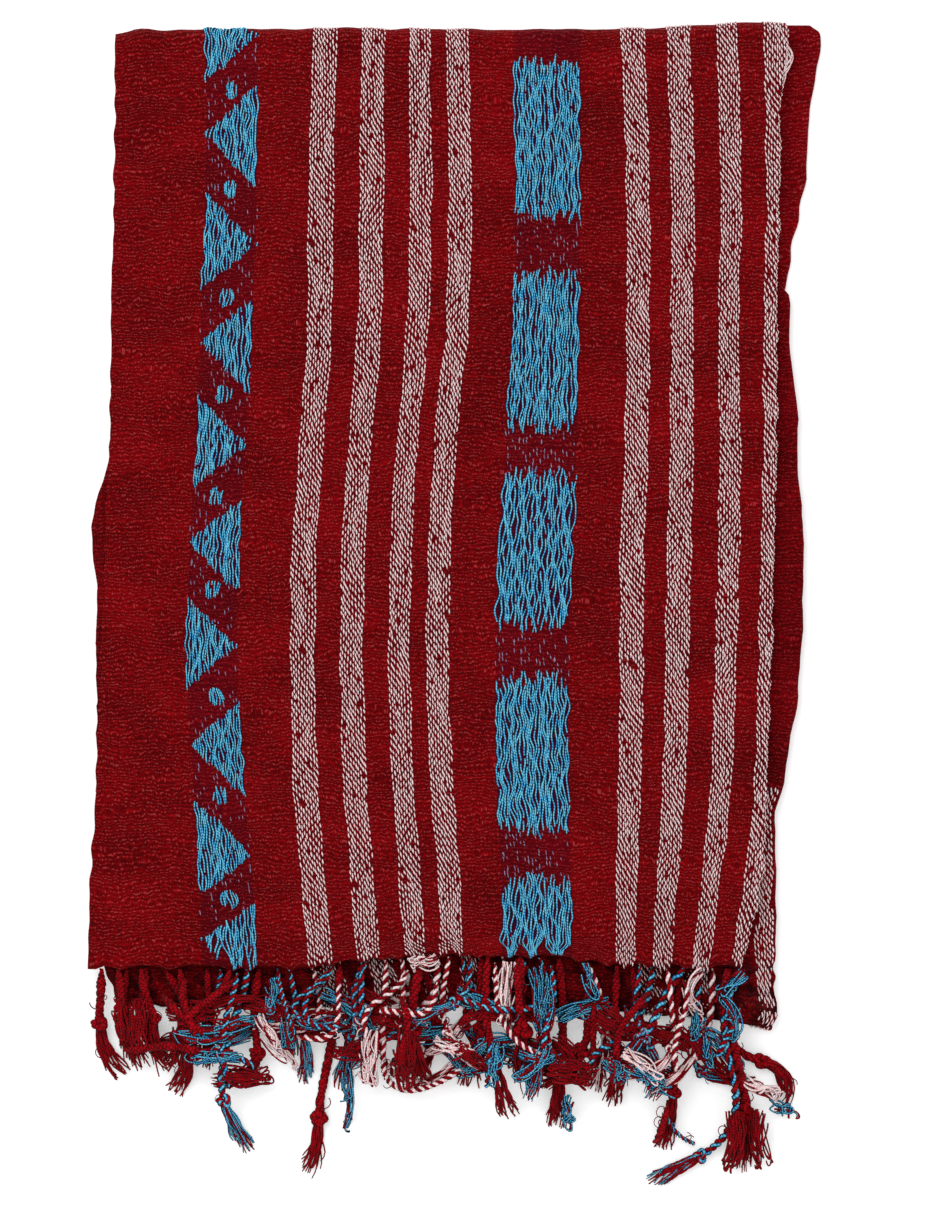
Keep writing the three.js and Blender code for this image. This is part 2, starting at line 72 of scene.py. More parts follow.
# Edges seen from above. Columns: y, x.
FRONT_LEFT = [
    (-243, -190.6), (-208, -189.8), (-182, -188.2), (-156, -186.7), (-104, -184.6), (-52, -182.5),
    (0, -181), (31, -178.9), (104, -178.4), (156, -176.8), (245, -176.3),
]
FRONT_RIGHT = [
    (-243, 148.7), (-229, 151.8), (-208, 157), (-182, 160.7), (-156, 161.7), (-104, 162.8), (-52, 164.8),
    (0, 165.9), (52, 166.9), (112, 166.9), (156, 168), (208, 169), (229, 172.1), (245, 172.6),
]
LOWER_LEFT = [
    (-268, -176), (-255, -178), (-243, -183), (-208, -186), (-156, -186), (-104, -185.8), (-78, -186.8),
    (-46, -185.8), (-31, -188), (-14, -189), (4, -185), (20, -179.5), (104, -177.5), (245, -175.5),
]
MIDDLE_RIGHT = [
    (-268, 165.5), (-262, 168.8), (-250, 167.4), (-161, 167.4), (-146, 171.6), (-125, 174.7),
    (-104, 178.9), (-73, 181), (-29, 181.8), (-8, 181.2), (12, 179.4), (44, 178.4), (64, 176.8),
    (85, 174.2), (106, 175.2), (112, 170), (118, 165.4), (156, 165.4), (208, 160), (234, 150),
]
BACK_RIGHT = [
    (-256, 147), (-208, 155.5), (-182, 159), (-104, 161), (0, 164), (88, 166), (104, 170), (112, 173.2),
    (130, 175.2), (146, 179.4), (168, 183.6), (192, 184.6), (213, 187.2), (229, 190.3), (245, 190.8),
]

# How the ends of the stack wander. Columns: x, y shift.
TOP_WANDER = [
    (-176, -2.6), (-166, 0), (-60, 0.6), (60, 0), (100, 0.4), (130, 2.6), (150, 3.6), (172, 3.1),
]
HEM_WANDER = [(-190, 0), (-80, 0), (-40, 5), (0, 7), (50, 6), (80, 2), (150, 0)]
MIDDLE_SLANT = -0.0218        # the middle fold drops towards the right, per mm of x
CORNER_DROP = 4.5             # and its right corner hangs lower by this much
PRESS_LEFT = 0.2              # the stack is pressed thinner towards the selvedges
PRESS_UNEVEN = 0.03           # and lies a little uneven

# The woven pattern across the upper cloth, at its nominal places Q, and where these lines lie at a few
# heights, because the cloth sways. Columns of the rows: y, then x of each line from BORDER to
# LAST_STRIPE.
LEFT_Q, FOLD_Q = -176.8, 166.2
LINES_Q = [-116.5, -76.4, 8.8, 31.2, 65, 88.9, 149.2, 161.7]
SWAY = [
    (-243, -115, -76, 4.5, 24, 61, 83.5, 132, 142.5),
    (-200, -117, -80, 3, 24, 60.5, 83.5, 137.5, 149.5),
    (-150, -121.5, -84, -0.5, 21.5, 59.5, 84.5, 143.5, 155),
    (-90, -126.5, -85.5, -3, 21, 59, 85.5, 146, 157),
    (-30, -126, -85, -2, 22.5, 61, 85.5, 148, 158.5),
    (30, -122, -81, 1, 26, 63.5, 88, 148.5, 160),
    (90, -119, -77, 7, 30, 64.5, 89, 147.5, 160),
    (150, -116.5, -76.5, 9, 31, 65, 89, 149, 161.5),
    (240, -116.5, -74, 7, 30.5, 65.5, 86, 147, 160),
]

# White stripes. Columns: left and right edge in Q.
STRIPES = [
    (-76.4, -62.9), (-49.9, -36.9), (-23.9, -12), (-3.6, 8.8),
    (88.9, 101.4), (112.3, 124.8), (137.8, 149.2), (161.7, 175.5),
]
# Blue blocks in the band from 31.2 to 65. Columns: upper and lower end.
BAND = (31.2, 65.0)
BLOCKS = [(226.5, 148), (115.5, 39.5), (12, -64), (-94.5, -171), (-199, -244)]
# Blue triangles of the border. Columns: which side stands upright, upper and lower end of it, height of
# the apex.
BORDER_Q, BORDER_HALF = -116.5, 13.3
TRIANGLES = [
    (-1, 266, 216.5, 241), (1, 215, 161.5, 190), (-1, 160, 109.5, 132.5), (1, 105, 54.5, 82),
    (-1, 54.5, 6, 28), (1, 0.5, -48, -21.5), (-1, -51, -98.5, -75.5), (1, -104.5, -154.5, -127.5),
    (-1, -156, -204.5, -184.5), (1, -209.5, -262, -228),
]
# Blue dots between them. Columns: place in Q and height.
DOTS = [
    (-116, 212.5), (-116.5, 161.5), (-117, 105), (-117, 55), (-116.5, 2), (-116.5, -46.5), (-115, -102),
    (-117.5, -153.5), (-117, -207.5),
]

# Soft creases of the front. Columns: place in Q and height, length, direction in degrees from across,
# width, rise.
CREASES = [
    (-160, 196, 70, 4, 7, 0.5), (-150, 96, 54, -12, 8, -0.5), (-148, 20, 60, 8, 6, 0.45),
    (-166, -60, 90, 82, 6, -0.5), (-150, -120, 64, -5, 8, 0.45), (-154, -196, 76, 70, 7, 0.5),
    (-96, 150, 110, 88, 8, -0.4), (-92, -10, 130, 94, 7, -0.45), (-96, -170, 120, 86, 7, 0.4),
    (-30, 60, 90, 14, 9, 0.35), (-34, -130, 70, -10, 8, -0.4), (18, 150, 150, 90, 7, 0.4),
    (20, -40, 160, 88, 6, -0.5), (14, -190, 90, 96, 7, 0.5), (78, 110, 140, 91, 7, -0.45),
    (76, -90, 150, 89, 7, 0.5), (108, 30, 60, 12, 8, 0.3), (130, -150, 120, 100, 7, -0.45),
    (156, -60, 140, 91, 5, 0.4), (154, 120, 100, 89, 5, -0.35),
]

# ---- Fringe, as in the frame --------------------------------------------------------------------------

ROOT_HALF = 0.8               # half thickness of the strip that the cords grow from
CORD_AIR = 0.6                # between a cord and what it lies on
CORD_STIFF = 7                # a lifted cord stays up this far to both sides
CORD_SLOPE = 0.8              # and then slopes down by this much per mm
CORD_REACH = 1.3              # cords this near, in shares of their widths, lie on each other
BACK_ROOTS, FRONT_ROOTS = 8.3, 12.4  # heights of the two rows of roots

# A cord's form, in shares of its half thickness. Columns: place, half width, half height. Over the
# twisted part the place is a share of it, and over the knot and the tassel it is the distance before the
# tip.
TWIST_FORM = [
    (0, 0.4, 0.4), (0.09, 0.8, 0.7), (0.2, 0.8, 0.7), (0.31, 0.8, 0.7), (0.42, 0.8, 0.7),
    (0.53, 0.8, 0.7), (0.64, 0.8, 0.7), (0.76, 0.8, 0.7), (0.88, 0.8, 0.7), (1, 0.8, 0.7),
]
END_FORM = [(30, 1.5, 1.2), (25.5, 1.5, 1.2), (23.5, 0.9, 0.8), (12, 1.5, 0.8), (0, 1.9, 0.5)]
END_LENGTH = 31.5
KNOT_BEFORE_TIP = 27.5
TASSEL_LENGTH = 25.5

# The cords. Columns: x of the root, length, half thickness, second yarn beside the red one, and how the
# cord heads at six even stations, in degrees from straight away from the hem, positive to the right.
BACK_CORDS = [
    (-171, 50, 2.4, "red", (-6, -6, 0, 6, 6, 10)),
    (-161, 62, 2.7, "red", (-6, -4, 0, 20, 90, 95)),
    (-151, 70, 2.5, "red", (30, 24, 14, 0, -16, -24)),
    (-129, 52, 2.2, "red", (0, 4, 4, 0, -10, -10)),
    (-122, 64, 2.1, "blue", (0, -10, -30, 40, 110, 120)),
    (-102, 74, 2.5, "red", (-10, -6, 4, 0, -60, -100)),
    (-92, 46, 2.1, "blue", (-4, 0, 14, 20, 10, 0)),
    (-60, 108, 2.6, "red", (-2, -6, -12, -10, -4, -30)),
    (-48, 64, 2.3, "blue", (-14, -20, -4, 0, -14, -6)),
    (-28, 60, 2, "white", (10, 20, -80, -60, 10, 0)),
    (-18, 60, 2.2, "red", (16, 20, 10, -10, -30, -10)),
    (-9, 64, 2.1, "white", (0, -10, -60, -95, -50, 0)),
    (4, 62, 2, "blue", (0, 20, -20, 40, 80, 80)),
    (14, 60, 2.6, "red", (-6, 0, 4, -10, -20, -10)),
    (34, 60, 2.2, "blue", (20, 40, 6, 0, 20, 30)),
    (54, 80, 2.7, "red", (6, 4, 0, -6, -4, -8)),
    (70, 70, 2.6, "red", (0, -4, 0, -30, -60, -80)),
    (92, 56, 2.4, "red", (8, 8, 10, 8, 0, -10)),
    (103, 62, 2.2, "blue", (-6, -20, -20, 20, 50, 60)),
    (118, 90, 2.2, "red", (-10, -8, 0, 0, -10, -16)),
    (128, 80, 2, "blue", (-10, -6, -8, 30, 95, 95)),
    (143, 80, 2.6, "red", (-14, -6, 30, 80, 40, -40)),
]
FRONT_CORDS = [
    (-184, 60, 2.5, "red", (-1, -2, -3, 6, 24, 40)),
    (-175, 54, 2.3, "red", (4, 6, 10, 14, 16, 20)),
    (-163, 56, 2.5, "red", (0, 12, 18, 0, 20, 40)),
    (-143, 54, 2.3, "red", (6, 8, 0, -6, -10, -20)),
    (-117, 58, 2.4, "red", (-10, -30, -44, -36, -10, 0)),
    (-108, 100, 2.3, "blue", (-6, -16, -16, -2, 24, 30)),
    (-86, 60, 2, "blue", (8, 10, 16, 10, 0, 0)),
    (-74, 60, 1.9, "white", (16, 10, -10, -80, -95, -80)),
    (-64, 62, 2, "blue", (-10, -60, -40, 50, 95, 80)),
    (-46, 56, 2, "blue", (-20, -24, 10, 20, -10, -60)),
    (-36, 96, 2, "white", (0, -2, -4, 50, 110, 120)),
    (-27, 78, 1.8, "white", (0, 0, -2, 70, 130, 140)),
    (-17, 60, 3, "red", (-14, -14, -6, 6, 10, 20)),
    (-3, 62, 1.8, "white", (-10, -12, 6, 30, 60, 70)),
    (8, 52, 1.8, "blue", (0, -10, -50, -80, -70, -60)),
    (17, 76, 2.6, "red", (-6, -3, 10, 14, 14, 20)),
    (25, 70, 2, "white", (0, -10, 30, 60, 60, 20)),
    (34, 60, 3.2, "red", (-6, 0, 6, 0, 10, 20)),
    (44, 66, 2.2, "blue", (14, 20, -10, -20, -10, -20)),
    (69, 62, 2.1, "white", (20, 26, 10, -4, -12, -14)),
    (84, 68, 2.4, "red", (0, -4, 2, 6, -6, -20)),
    (96, 66, 2, "blue", (-6, -10, 20, 30, 0, -30)),
    (119, 66, 2.5, "blue", (-40, -36, -28, -40, -30, 0)),
    (110, 66, 1.9, "white", (8, 6, 4, -20, -70, -90)),
    (141, 98, 3.3, "red", (0, 6, 14, 12, -6, -8)),
    (134, 70, 2.1, "white", (0, -4, -16, -36, -50, -60)),
    (148, 132, 2.3, "blue", (-40, 0, 14, -20, -60, -54)),
]

# Loops of cord that lie over the others, both ends tucked in. Columns: x and y where each starts,
# length, half thickness, second yarn, and how it heads at even stations.
LOOPS = [
    (-60, -252, 46, 1.8, "white", (-5, 0, -20, -88, -95)),
    (-24, -250, 46, 1.8, "white", (-30, -50, -60, 0, 40)),
    (-9, -256, 38, 1.8, "white", (-10, -30, -90, -95, -95)),
    (-36, -280, 66, 1.8, "white", (-12, 10, 85, 115, 125)),
    (-66, -246, 50, 1.8, "blue", (-35, -40, 10, 80, 100)), (-48, -245, 30, 2, "blue", (-5, 0, 5)),
    (-113, -246, 62, 1.9, "blue", (-8, -14, -10, 5, 20)),
    (-172, -290, 42, 2.4, "red", (100, 100, 95, 80, 70)),
    (21, -247, 54, 1.7, "white", (0, 5, 30, 60, 80)), (50, -248, 42, 1.9, "blue", (10, 0, -20, -10, 0)),
    (19, -280, 24, 1.9, "blue", (-10, -5, 0)), (111, -310, 24, 2, "red", (-10, -16, -20)),
    (109, -314, 26, 1.3, "blue", (10, 40, 70)), (-152, -260, 32, 2.3, "red", (40, 50, 60)),
    (-114, -249, 38, 2.3, "red", (-45, -50, -40)), (-92, -246, 34, 1.5, "blue", (10, 15, 20)),
    (72, -260, 34, 2, "red", (-2, 0, 2)), (32, -245, 26, 2.4, "red", (0, 5, -5)),
    (148, -260, 28, 1.8, "blue", (-20, -30, -10)), (-134, -289, 34, 1.8, "blue", (95, 80, 70, 20)),
    (88, -262, 40, 1.9, "blue", (20, -30, -60, 0)), (2, -262, 44, 1.8, "blue", (60, 80, 95, 100)),
    (120, -250, 44, 1.8, "white", (10, -20, -10, 20)), (-140, -250, 34, 2.3, "red", (-20, 20, 10)),
    (-28, -262, 34, 2.3, "red", (30, -10, -40)), (100, -256, 40, 2.2, "red", (-50, -30, 20)),
]

# Bunches of loose yarn caught in the fringe. Columns: x and y where each starts, length, half width,
# yarn, and how it heads at three even stations, as for the cords.
BUNCHES = [
    (-97, -249, 17, 2.6, "blue", (10, 0, -6)), (-103, -270, 30, 3.2, "white", (20, 40, 50)),
    (-88, -270, 14, 2.4, "blue", (0, 4, 0)), (-120, -278, 22, 4, "blue", (-60, -90, -100)),
    (-112, -290, 24, 3.6, "blue", (-80, -90, -70)), (-44, -277, 24, 4.2, "white", (-10, 0, 6)),
    (-57, -296, 30, 2.4, "blue", (-6, 4, 0)), (-10, -243, 12, 3.2, "white", (-60, -80, -60)),
    (26, -246, 26, 4, "white", (0, -4, -8)), (-12, -284, 22, 3, "white", (60, 90, 100)),
    (0, -284, 16, 3, "red", (40, 60, 80)), (40, -249, 24, 2.6, "blue", (20, 6, 0)),
    (48, -252, 22, 2.4, "blue", (10, -10, 0)), (21, -282, 18, 2.8, "blue", (-6, -4, 6)),
    (33, -288, 20, 3, "blue", (80, 90, 100)), (46, -282, 20, 3, "blue", (-20, -40, -60)),
    (57, -308, 16, 2.2, "blue", (0, 10, 0)), (67, -244, 16, 2, "blue", (10, 24, 20)),
    (86, -285, 20, 3.6, "white", (60, 60, 40)), (88, -290, 26, 3.6, "blue", (60, 60, 50)),
    (76, -288, 16, 3.4, "blue", (30, 60, 60)), (127, -243, 24, 2.4, "white", (-50, -10, 60)),
    (149, -244, 17, 2.4, "blue", (-50, -50, -40)), (138, -257, 20, 2.4, "blue", (50, 20, 0)),
    (125, -263, 14, 2.8, "blue", (0, -6, 0)), (129, -274, 16, 2, "blue", (4, 10, 10)),
    (150, -296, 18, 3.2, "white", (70, 80, 60)), (164, -309, 13, 2, "blue", (90, 80, 80)),
    (-166, -262, 24, 5, "red", (0, 4, 0)), (-121, -302, 22, 5, "red", (80, 90, 100)),
    (-176, -262, 20, 3, "red", (6, 10, 14)), (48, -294, 22, 6, "red", (70, 90, 80)),
    (144, -313, 28, 4.6, "red", (14, -2, -22)), (157, -309, 27, 4.6, "red", (-8, 6, 22)),
    (-26, -276, 26, 5, "red", (0, -4, 6)),
]

FULL_TURN = 2 * np.pi


# ---- Small helpers ------------------------------------------------------------------------------------

def eased(value, low, high):
    """0 below low, 1 above high, and 3t^2 - 2t^3 of the share t of the way between them."""
    share = np.clip((value - low) / (high - low), 0.0, 1.0)
    return share * share * (3.0 - 2.0 * share)


def reading(table, place):
    """A table of (place, value) rows, read as straight lines between its rows."""
    places, values = np.array(table, dtype=float).T
    return np.interp(place, places, values)


def smooth_through(places, values, at):
    """Cubic Hermite curve through the values: its slope at each one is that between its two
    neighbours."""
    places, values = np.asarray(places, dtype=float), np.asarray(values, dtype=float)
    slopes = np.gradient(values, places)
    at = np.clip(at, places[0], places[-1])
    k = np.clip(np.searchsorted(places, at, side="right") - 1, 0, len(places) - 2)
    step = places[k + 1] - places[k]
    t = (at - places[k]) / step
    rest = 1 - t
    return (
        values[k] * (1 + 2 * t) * rest**2 + slopes[k] * step * t * rest**2
        + values[k + 1] * t**2 * (3 - 2 * t) - slopes[k + 1] * step * t**2 * rest
    )


def ripples(x, y, length, seed, waves=6):
    """Uneven rise and fall of about one: sine waves of about this length, each in a direction of its
    own."""
    chance = np.random.default_rng(seed)
    height = 0.0
    for _ in range(waves):
        heading, stretch, phase = chance.uniform((0, 0.7, 0), (FULL_TURN, 1.6, FULL_TURN))
        along = x * np.cos(heading) + y * np.sin(heading)
        height = height + np.sin(along * FULL_TURN / (length * stretch) + phase)
    return height / np.sqrt(waves)


def laid(x, y, z):
    """A point of the square, even stack where the wandering, pressed stack has it: y is shifted near
    the two ends, and z is scaled by 1 - PRESS_LEFT (distance from the fold)^2 - PRESS_UNEVEN sin x
    sin y."""
    near_top = eased(y, 150, TOP_FOLD_Y)
    near_hem = np.where(y > HEM_Y, eased(-y, 226, -HEM_Y), 1 - eased(-y, -HEM_Y, 300))
    past_hem = eased(-y, -HEM_Y, -MIDDLE_FOLD_Y)
    drop = MIDDLE_SLANT * x - CORNER_DROP * eased(x, 135, 160)
    shift = reading(TOP_WANDER, x) * near_top + reading(HEM_WANDER, x) * near_hem + drop * past_hem
    from_fold = (PANEL_WIDTH / 2 - x) / PANEL_WIDTH
    uneven = np.sin(x / 27) * np.sin(y / 33 + 1)
    pressed = z * (1 - PRESS_LEFT * from_fold**2 - PRESS_UNEVEN * uneven)
    return np.stack([x, y + shift, np.maximum(pressed, 0.1)], axis=-1)


# ---- Meshes -------------------------------------------------------------------------------------------

SHIFT = np.array(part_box("front_panel")[0]) + np.array([190.6, -HEM_Y, 0]) / 1000
SHIFT[2] = 0


def corners_of_grid(rows, columns):
    """Corners (row, column) of every quad of a grid, anticlockwise when rows run up and columns run
    right."""
    row, column = np.meshgrid(np.arange(rows - 1), np.arange(columns - 1), indexing="ij")
    steps = [(0, 0), (0, 1), (1, 1), (1, 0)]
    return np.stack([np.stack([row + up, column + right], -1) for up, right in steps], -2).reshape(-1, 4, 2)


class Piece:
    """Surfaces gathered into one mesh. Each has points, quads, and two pattern coordinates for each
    quad corner."""

    def __init__(self, name):
        self.name, self.points, self.quads, self.marks, self.count = name, [], [], [], 0

    def add(self, points, quads, marks):
        self.points.append(points.reshape(-1, 3))
        self.quads.append(quads.reshape(-1, 4) + self.count)
        self.marks.append(marks.reshape(-1, 2))
        self.count += points.size // 3

    def finished(self, material, replaces=(), slot=None):
        """Puts the arrays into a mesh object in metres, at the origin, riding on the part's body."""
        points = np.concatenate(self.points) / 1000 + SHIFT
        quads = np.concatenate(self.quads)
        mesh = bpy.data.meshes.new(self.name)
        mesh.vertices.add(len(points))
        mesh.vertices.foreach_set("co", points.astype(np.float32).ravel())
        mesh.loops.add(quads.size)
        mesh.loops.foreach_set("vertex_index", quads.astype(np.int32).ravel())
        mesh.polygons.add(len(quads))
        mesh.polygons.foreach_set("loop_start", np.arange(0, quads.size, 4, dtype=np.int32))
        mesh.update(calc_edges=True)
        weave = mesh.uv_layers.new(name="weave")
        weave.data.foreach_set("uv", np.concatenate(self.marks).astype(np.float32).ravel())
        mesh.shade_smooth()
        mesh.materials.append(material)
        piece = bpy.data.objects.new(self.name, mesh)
        bpy.context.scene.collection.objects.link(piece)
        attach(piece, "root")
        if replaces:
            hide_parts(*replaces)
        return piece


def add_shell(piece, outer, inner, across, along):
    """A thin closed sheet: an outer and an inner grid of points, joined round their four rims."""
    rows, columns = outer.shape[:2]
    number = np.arange(rows * columns).reshape(rows, columns)
    below = number + rows * columns
    row, column = np.moveaxis(corners_of_grid(rows, columns), -1, 0)
    face, face_marks = number[row, column], np.stack([across[row, column], along[row, column]], -1)
    quads, marks = [face, face[:, ::-1] + rows * columns], [face_marks, face_marks[:, ::-1]]
    rims = [
        (number[0], below[0], 1), (number[-1], below[-1], -1), (number[:, 0], below[:, 0], -1),
        (number[:, -1], below[:, -1], 1),
    ]
    flat_marks = np.stack([across.ravel(), along.ravel()], -1)
    for top, bottom, turn in rims:
        rim = np.stack([bottom[:-1], bottom[1:], top[1:], top[:-1]], -1)[:, ::turn]
        quads.append(rim)
        marks.append(flat_marks[rim % (rows * columns)])
    piece.add(np.stack([outer, inner]), np.concatenate(quads), np.concatenate(marks))


def add_tubes(piece, rings, length_marks):
    """Many tubes at once. rings holds their points as (tube, station, side, xyz); length_marks is the
    distance along each. The sides go round the tube, and its two ends are closed by a strip of quads."""
    tubes, stations, sides = rings.shape[:3]
    station, side = np.moveaxis(corners_of_grid(stations, sides + 1), -1, 0)
    wall = station * sides + side % sides
    first = np.array([(0, k + 2, k + 1, k) for k in range(1, sides - 2, 2)])
    last = first[:, ::-1] + (stations - 1) * sides
    quads = np.concatenate([wall, first, last])
    every = quads[None] + (np.arange(tubes) * stations * sides)[:, None, None]
    round_marks = np.concatenate([side / sides, (first % sides) / sides, (last % sides) / sides])
    at = quads // sides
    marks = np.stack([np.broadcast_to(round_marks, every.shape), length_marks[:, at]], -1)
    piece.add(rings, every, marks)


def ring_angles(sides):
    return np.arange(sides) * FULL_TURN / sides


# ---- Folded cloth -------------------------------------------------------------------------------------

def front_turn(v):
    """How far the front has rolled over the top fold at v, in degrees."""
    return np.degrees(np.maximum(v - WRAP_Y, 0) / WRAP)


def wavy(v, seed):
    """The small unevenness of a fold's line: a ripple of 0.45 mm about 15 mm long."""
    return EDGE_RIPPLE * ripples(0 * v, v, 15, seed)


def front_crest(v):
    """x of the front's right crest, drawn in at the corner where it rolls over the top fold."""
    return reading(FRONT_RIGHT, v) - BEND - 17 * eased(front_turn(v), 75, 100) + wavy(v, 31)


def beside_roots(q, width):
    """The sum over the front cords of exp(-(distance / width)^2), so about one beside each root."""
    return sum(np.exp(-(((q - cord[0]) / width) ** 2)) for cord in FRONT_CORDS)


def relief_of_front(q, v):
    """The front's unevenness: the listed creases, a soft overall ripple, and gathers above the cords'
    roots."""
    creases = 0.0
    for place_q, place_v, length, heading, width, rise in CREASES:
        heading = np.radians(heading)
        along = (q - place_q) * np.cos(heading) + (v - place_v) * np.sin(heading)
        aside = (v - place_v) * np.cos(heading) - (q - place_q) * np.sin(heading)
        creases = creases + rise * np.exp(-((aside / width) ** 2) - (2 * along / length) ** 4)
    gathers = beside_roots(q, 3.2) * (1 - eased(v, HEM_Y, HEM_Y + 26))
    still = 1 - 0.75 * eased(v, WRAP_Y - 20, WRAP_Y)
    bumps = 0.4 * ripples(q, 0 * v, 19, 21) * eased(v, WRAP_Y - 14, WRAP_Y)
    soft = 0.16 * ripples(q, v, 22, 4) + 0.2 * ripples(q, 2.5 * v, 60, 5)
    return (0.9 * creases + soft) * still + 0.7 * gathers + bumps


class FoldedPair:
    """Two cloths lying face to face, folded along their right edge.

    q is the nominal place across the cloth: up to fold_q it is on the upper cloth, then goes round
    the fold, and on along the lower cloth. v is the place along the cloth. h is the height off the
    outer face. Round the fold, x = crest + (BEND + h) sin a and z = (BEND + h) cos a - BEND, with a
    the distance past the crest over BEND. Past roll_from the pair goes round a fold across the stack
    in the same way, with the outer radius `roll`.
    """

    def __init__(
        self, top, left, crest, roll_from=1e6, roll=1.0, towards=1, lines=None, relief=None, gather=None,
    ):
        self.top, self.left, self.crest = top, left, crest
        self.roll_from, self.roll, self.towards = roll_from, roll, towards
        self.lines, self.relief, self.gather = lines, relief, gather

    def line(self, number, v):
        """x of one line of the pattern."""
        return smooth_through([row[0] for row in SWAY], [row[number + 1] for row in SWAY], v)

    def fold_q(self, v):
        """Where the fold starts: as far past the last line of the pattern as the crest lies past it."""
        if not self.lines:
            return FOLD_Q
        return LINES_Q[-1] + self.crest(v) - self.line(len(LINES_Q) - 1, v)

    def x_of(self, q, v):
        """x on the upper cloth: straight from line to line of the pattern, each line following its
        sway."""
        nominal = [LEFT_Q, *(LINES_Q if self.lines else [FOLD_Q])]
        right = [self.line(k, v) for k in range(len(LINES_Q))] if self.lines else [self.crest(v)]
        places = [self.left(v), *right]
        x = places[0] + np.minimum(q - LEFT_Q, 0) + np.maximum(q - nominal[-1], 0)
        for k in range(len(nominal) - 1):
            share = np.clip((q - nominal[k]) / (nominal[k + 1] - nominal[k]), 0, 1)
            x = x + share * (places[k + 1] - places[k])
        return np.minimum(x, self.crest(v))

    def at(self, q, v, h):
        q, v, h = np.broadcast_arrays(*(np.asarray(value, dtype=float) for value in (q, v, h)))
        if self.relief:
            h = h + self.relief(q, v)
        if self.gather:
            v = v + self.gather(q, v)
        crest, fold = self.crest(v), self.fold_q(v)
        beyond = np.maximum(q - fold, 0)
        turn = np.minimum(beyond / BEND, np.pi)
        back = np.maximum(beyond - np.pi * BEND, 0) * (crest - self.left(v) - 1) / (FOLD_Q - LEFT_Q)
        x = np.where(q > fold, crest, self.x_of(q, v)) + (BEND + h) * np.sin(turn) - back
        z = (BEND + h) * np.cos(turn) - BEND
        v = v * self.towards
        rolled = np.maximum(v - self.roll_from, 0) / self.roll
        y = self.towards * (np.minimum(v, self.roll_from) + (self.roll + z) * np.sin(rolled))
        z = self.top - self.roll + (self.roll + z) * np.cos(rolled)
        return laid(x, y, z)

    def sheet(self, name, q, v, material, replaces, slot):
        """The cloth itself, through the columns q and rows v. Its last columns are moved so that the
        fold has its own."""
        piece = Piece(name)
        q, v = np.meshgrid(q, v)
        q = q + (self.fold_q(v) - FOLD_Q) * np.clip((q - 140) / (FOLD_Q - 140), 0, 1)
        add_shell(piece, self.at(q, v, 0.0), self.at(q, v, -WOOL), q, v)
        return piece.finished(material, replaces, slot)


def selvedge(table, seed):
    """x of a left edge: its table, with the small scallops of a woven edge."""
    return lambda v: reading(table, v) + EDGE_RIPPLE * ripples(0.0 * v, v, 13, seed) - 0.3


def hem_gather(q, v):
    """Each cord pulls its hem out by a little, and the hem draws back between the cords."""
    pull = beside_roots(q, 3.6)
    return (1.2 - 2.6 * np.minimum(pull, 1)) * (1 - eased(v, HEM_Y, HEM_Y + 18))


def columns(width, upper_step, lower_steps, fine_from=1e6, fine_step=1.0):
    """Places across a pair: the upper cloth, then the fold in eight steps, then the lower cloth."""
    split = min(fine_from, FOLD_Q)
    upper = np.linspace(LEFT_Q, split, int(round((split - LEFT_Q) / upper_step)) + 1)
    fine = np.linspace(split, FOLD_Q, int(round((FOLD_Q - split) / fine_step)) + 1)[1:]
    fold = FOLD_Q + np.linspace(0, np.pi * BEND, 9)[1:]
    lower = FOLD_Q + np.pi * BEND + np.linspace(0, width, lower_steps + 1)[1:]
    return np.concatenate([upper, fine, fold, lower])


def spaced(*stretches):
    """Rows through stretches of (from, to, step), each starting where the last one ended."""
    rows = [np.array([stretches[0][0]], dtype=float)]
    for start, end, step in stretches:
        rows.append(np.linspace(start, end, max(1, int(round(abs(end - start) / step))) + 1)[1:])
    return np.concatenate(rows)


HALF_WEB = FOLD_Q - LEFT_Q
EDGE_RIPPLE = 0.45            # how far a woven or folded edge wanders
MIDDLE_ROLL = 3.75
INNER_ROLL = 3.6
ROLL_END = np.radians(150)

front = FoldedPair(
    FRONT_TOP, selvedge(FRONT_LEFT, 11), front_crest, roll_from=WRAP_Y, roll=WRAP, lines=True,
    relief=relief_of_front, gather=hem_gather,
)


def relief_of_middle(q, v):
    """The middle pair's unevenness: faint on the stack, puckered where the pair comes out below the
    hem."""
    out = eased(-v, 232, 245)
    return (0.15 + 0.75 * out) * ripples(q, 1.4 * v, 14, 6) - 0.2 - 0.9 * out


middle = FoldedPair(
    MIDDLE_TOP, selvedge(LOWER_LEFT, 12), lambda v: reading(MIDDLE_RIGHT, v) - BEND + wavy(v, 32),
    roll_from=-MIDDLE_FOLD_Y - MIDDLE_ROLL, roll=MIDDLE_ROLL, towards=-1, relief=relief_of_middle,
    gather=lambda q, v: 1.7 * ripples(q, 0 * v, 26, 7) * eased(-v, 240, 262),
)
inner = FoldedPair(
    INNER_TOP, selvedge(LOWER_LEFT, 13), lambda v: reading(FRONT_RIGHT, v) - 3 - 8 * eased(v, 205, 235),
    roll_from=WRAP_Y - 1, roll=INNER_ROLL, relief=lambda q, v: 0.15 * ripples(q, v, 20, 8) - 0.15,
)


def back_crest(v):
    """x of the back pair's right crest, with the corner at the top rounded off."""
    return reading(BACK_RIGHT, v) - BEND + wavy(v, 33) - 5 * eased(v, 239, 245) ** 2


back = FoldedPair(
    BACK_TOP, selvedge(LOWER_LEFT, 14), back_crest,
    relief=lambda q, v: -0.2 - 0.2 * np.abs(ripples(q, v, 24, 9)) * eased(q, 100, 150),
)


# ---- Floats and strands -------------------------------------------------------------------------------

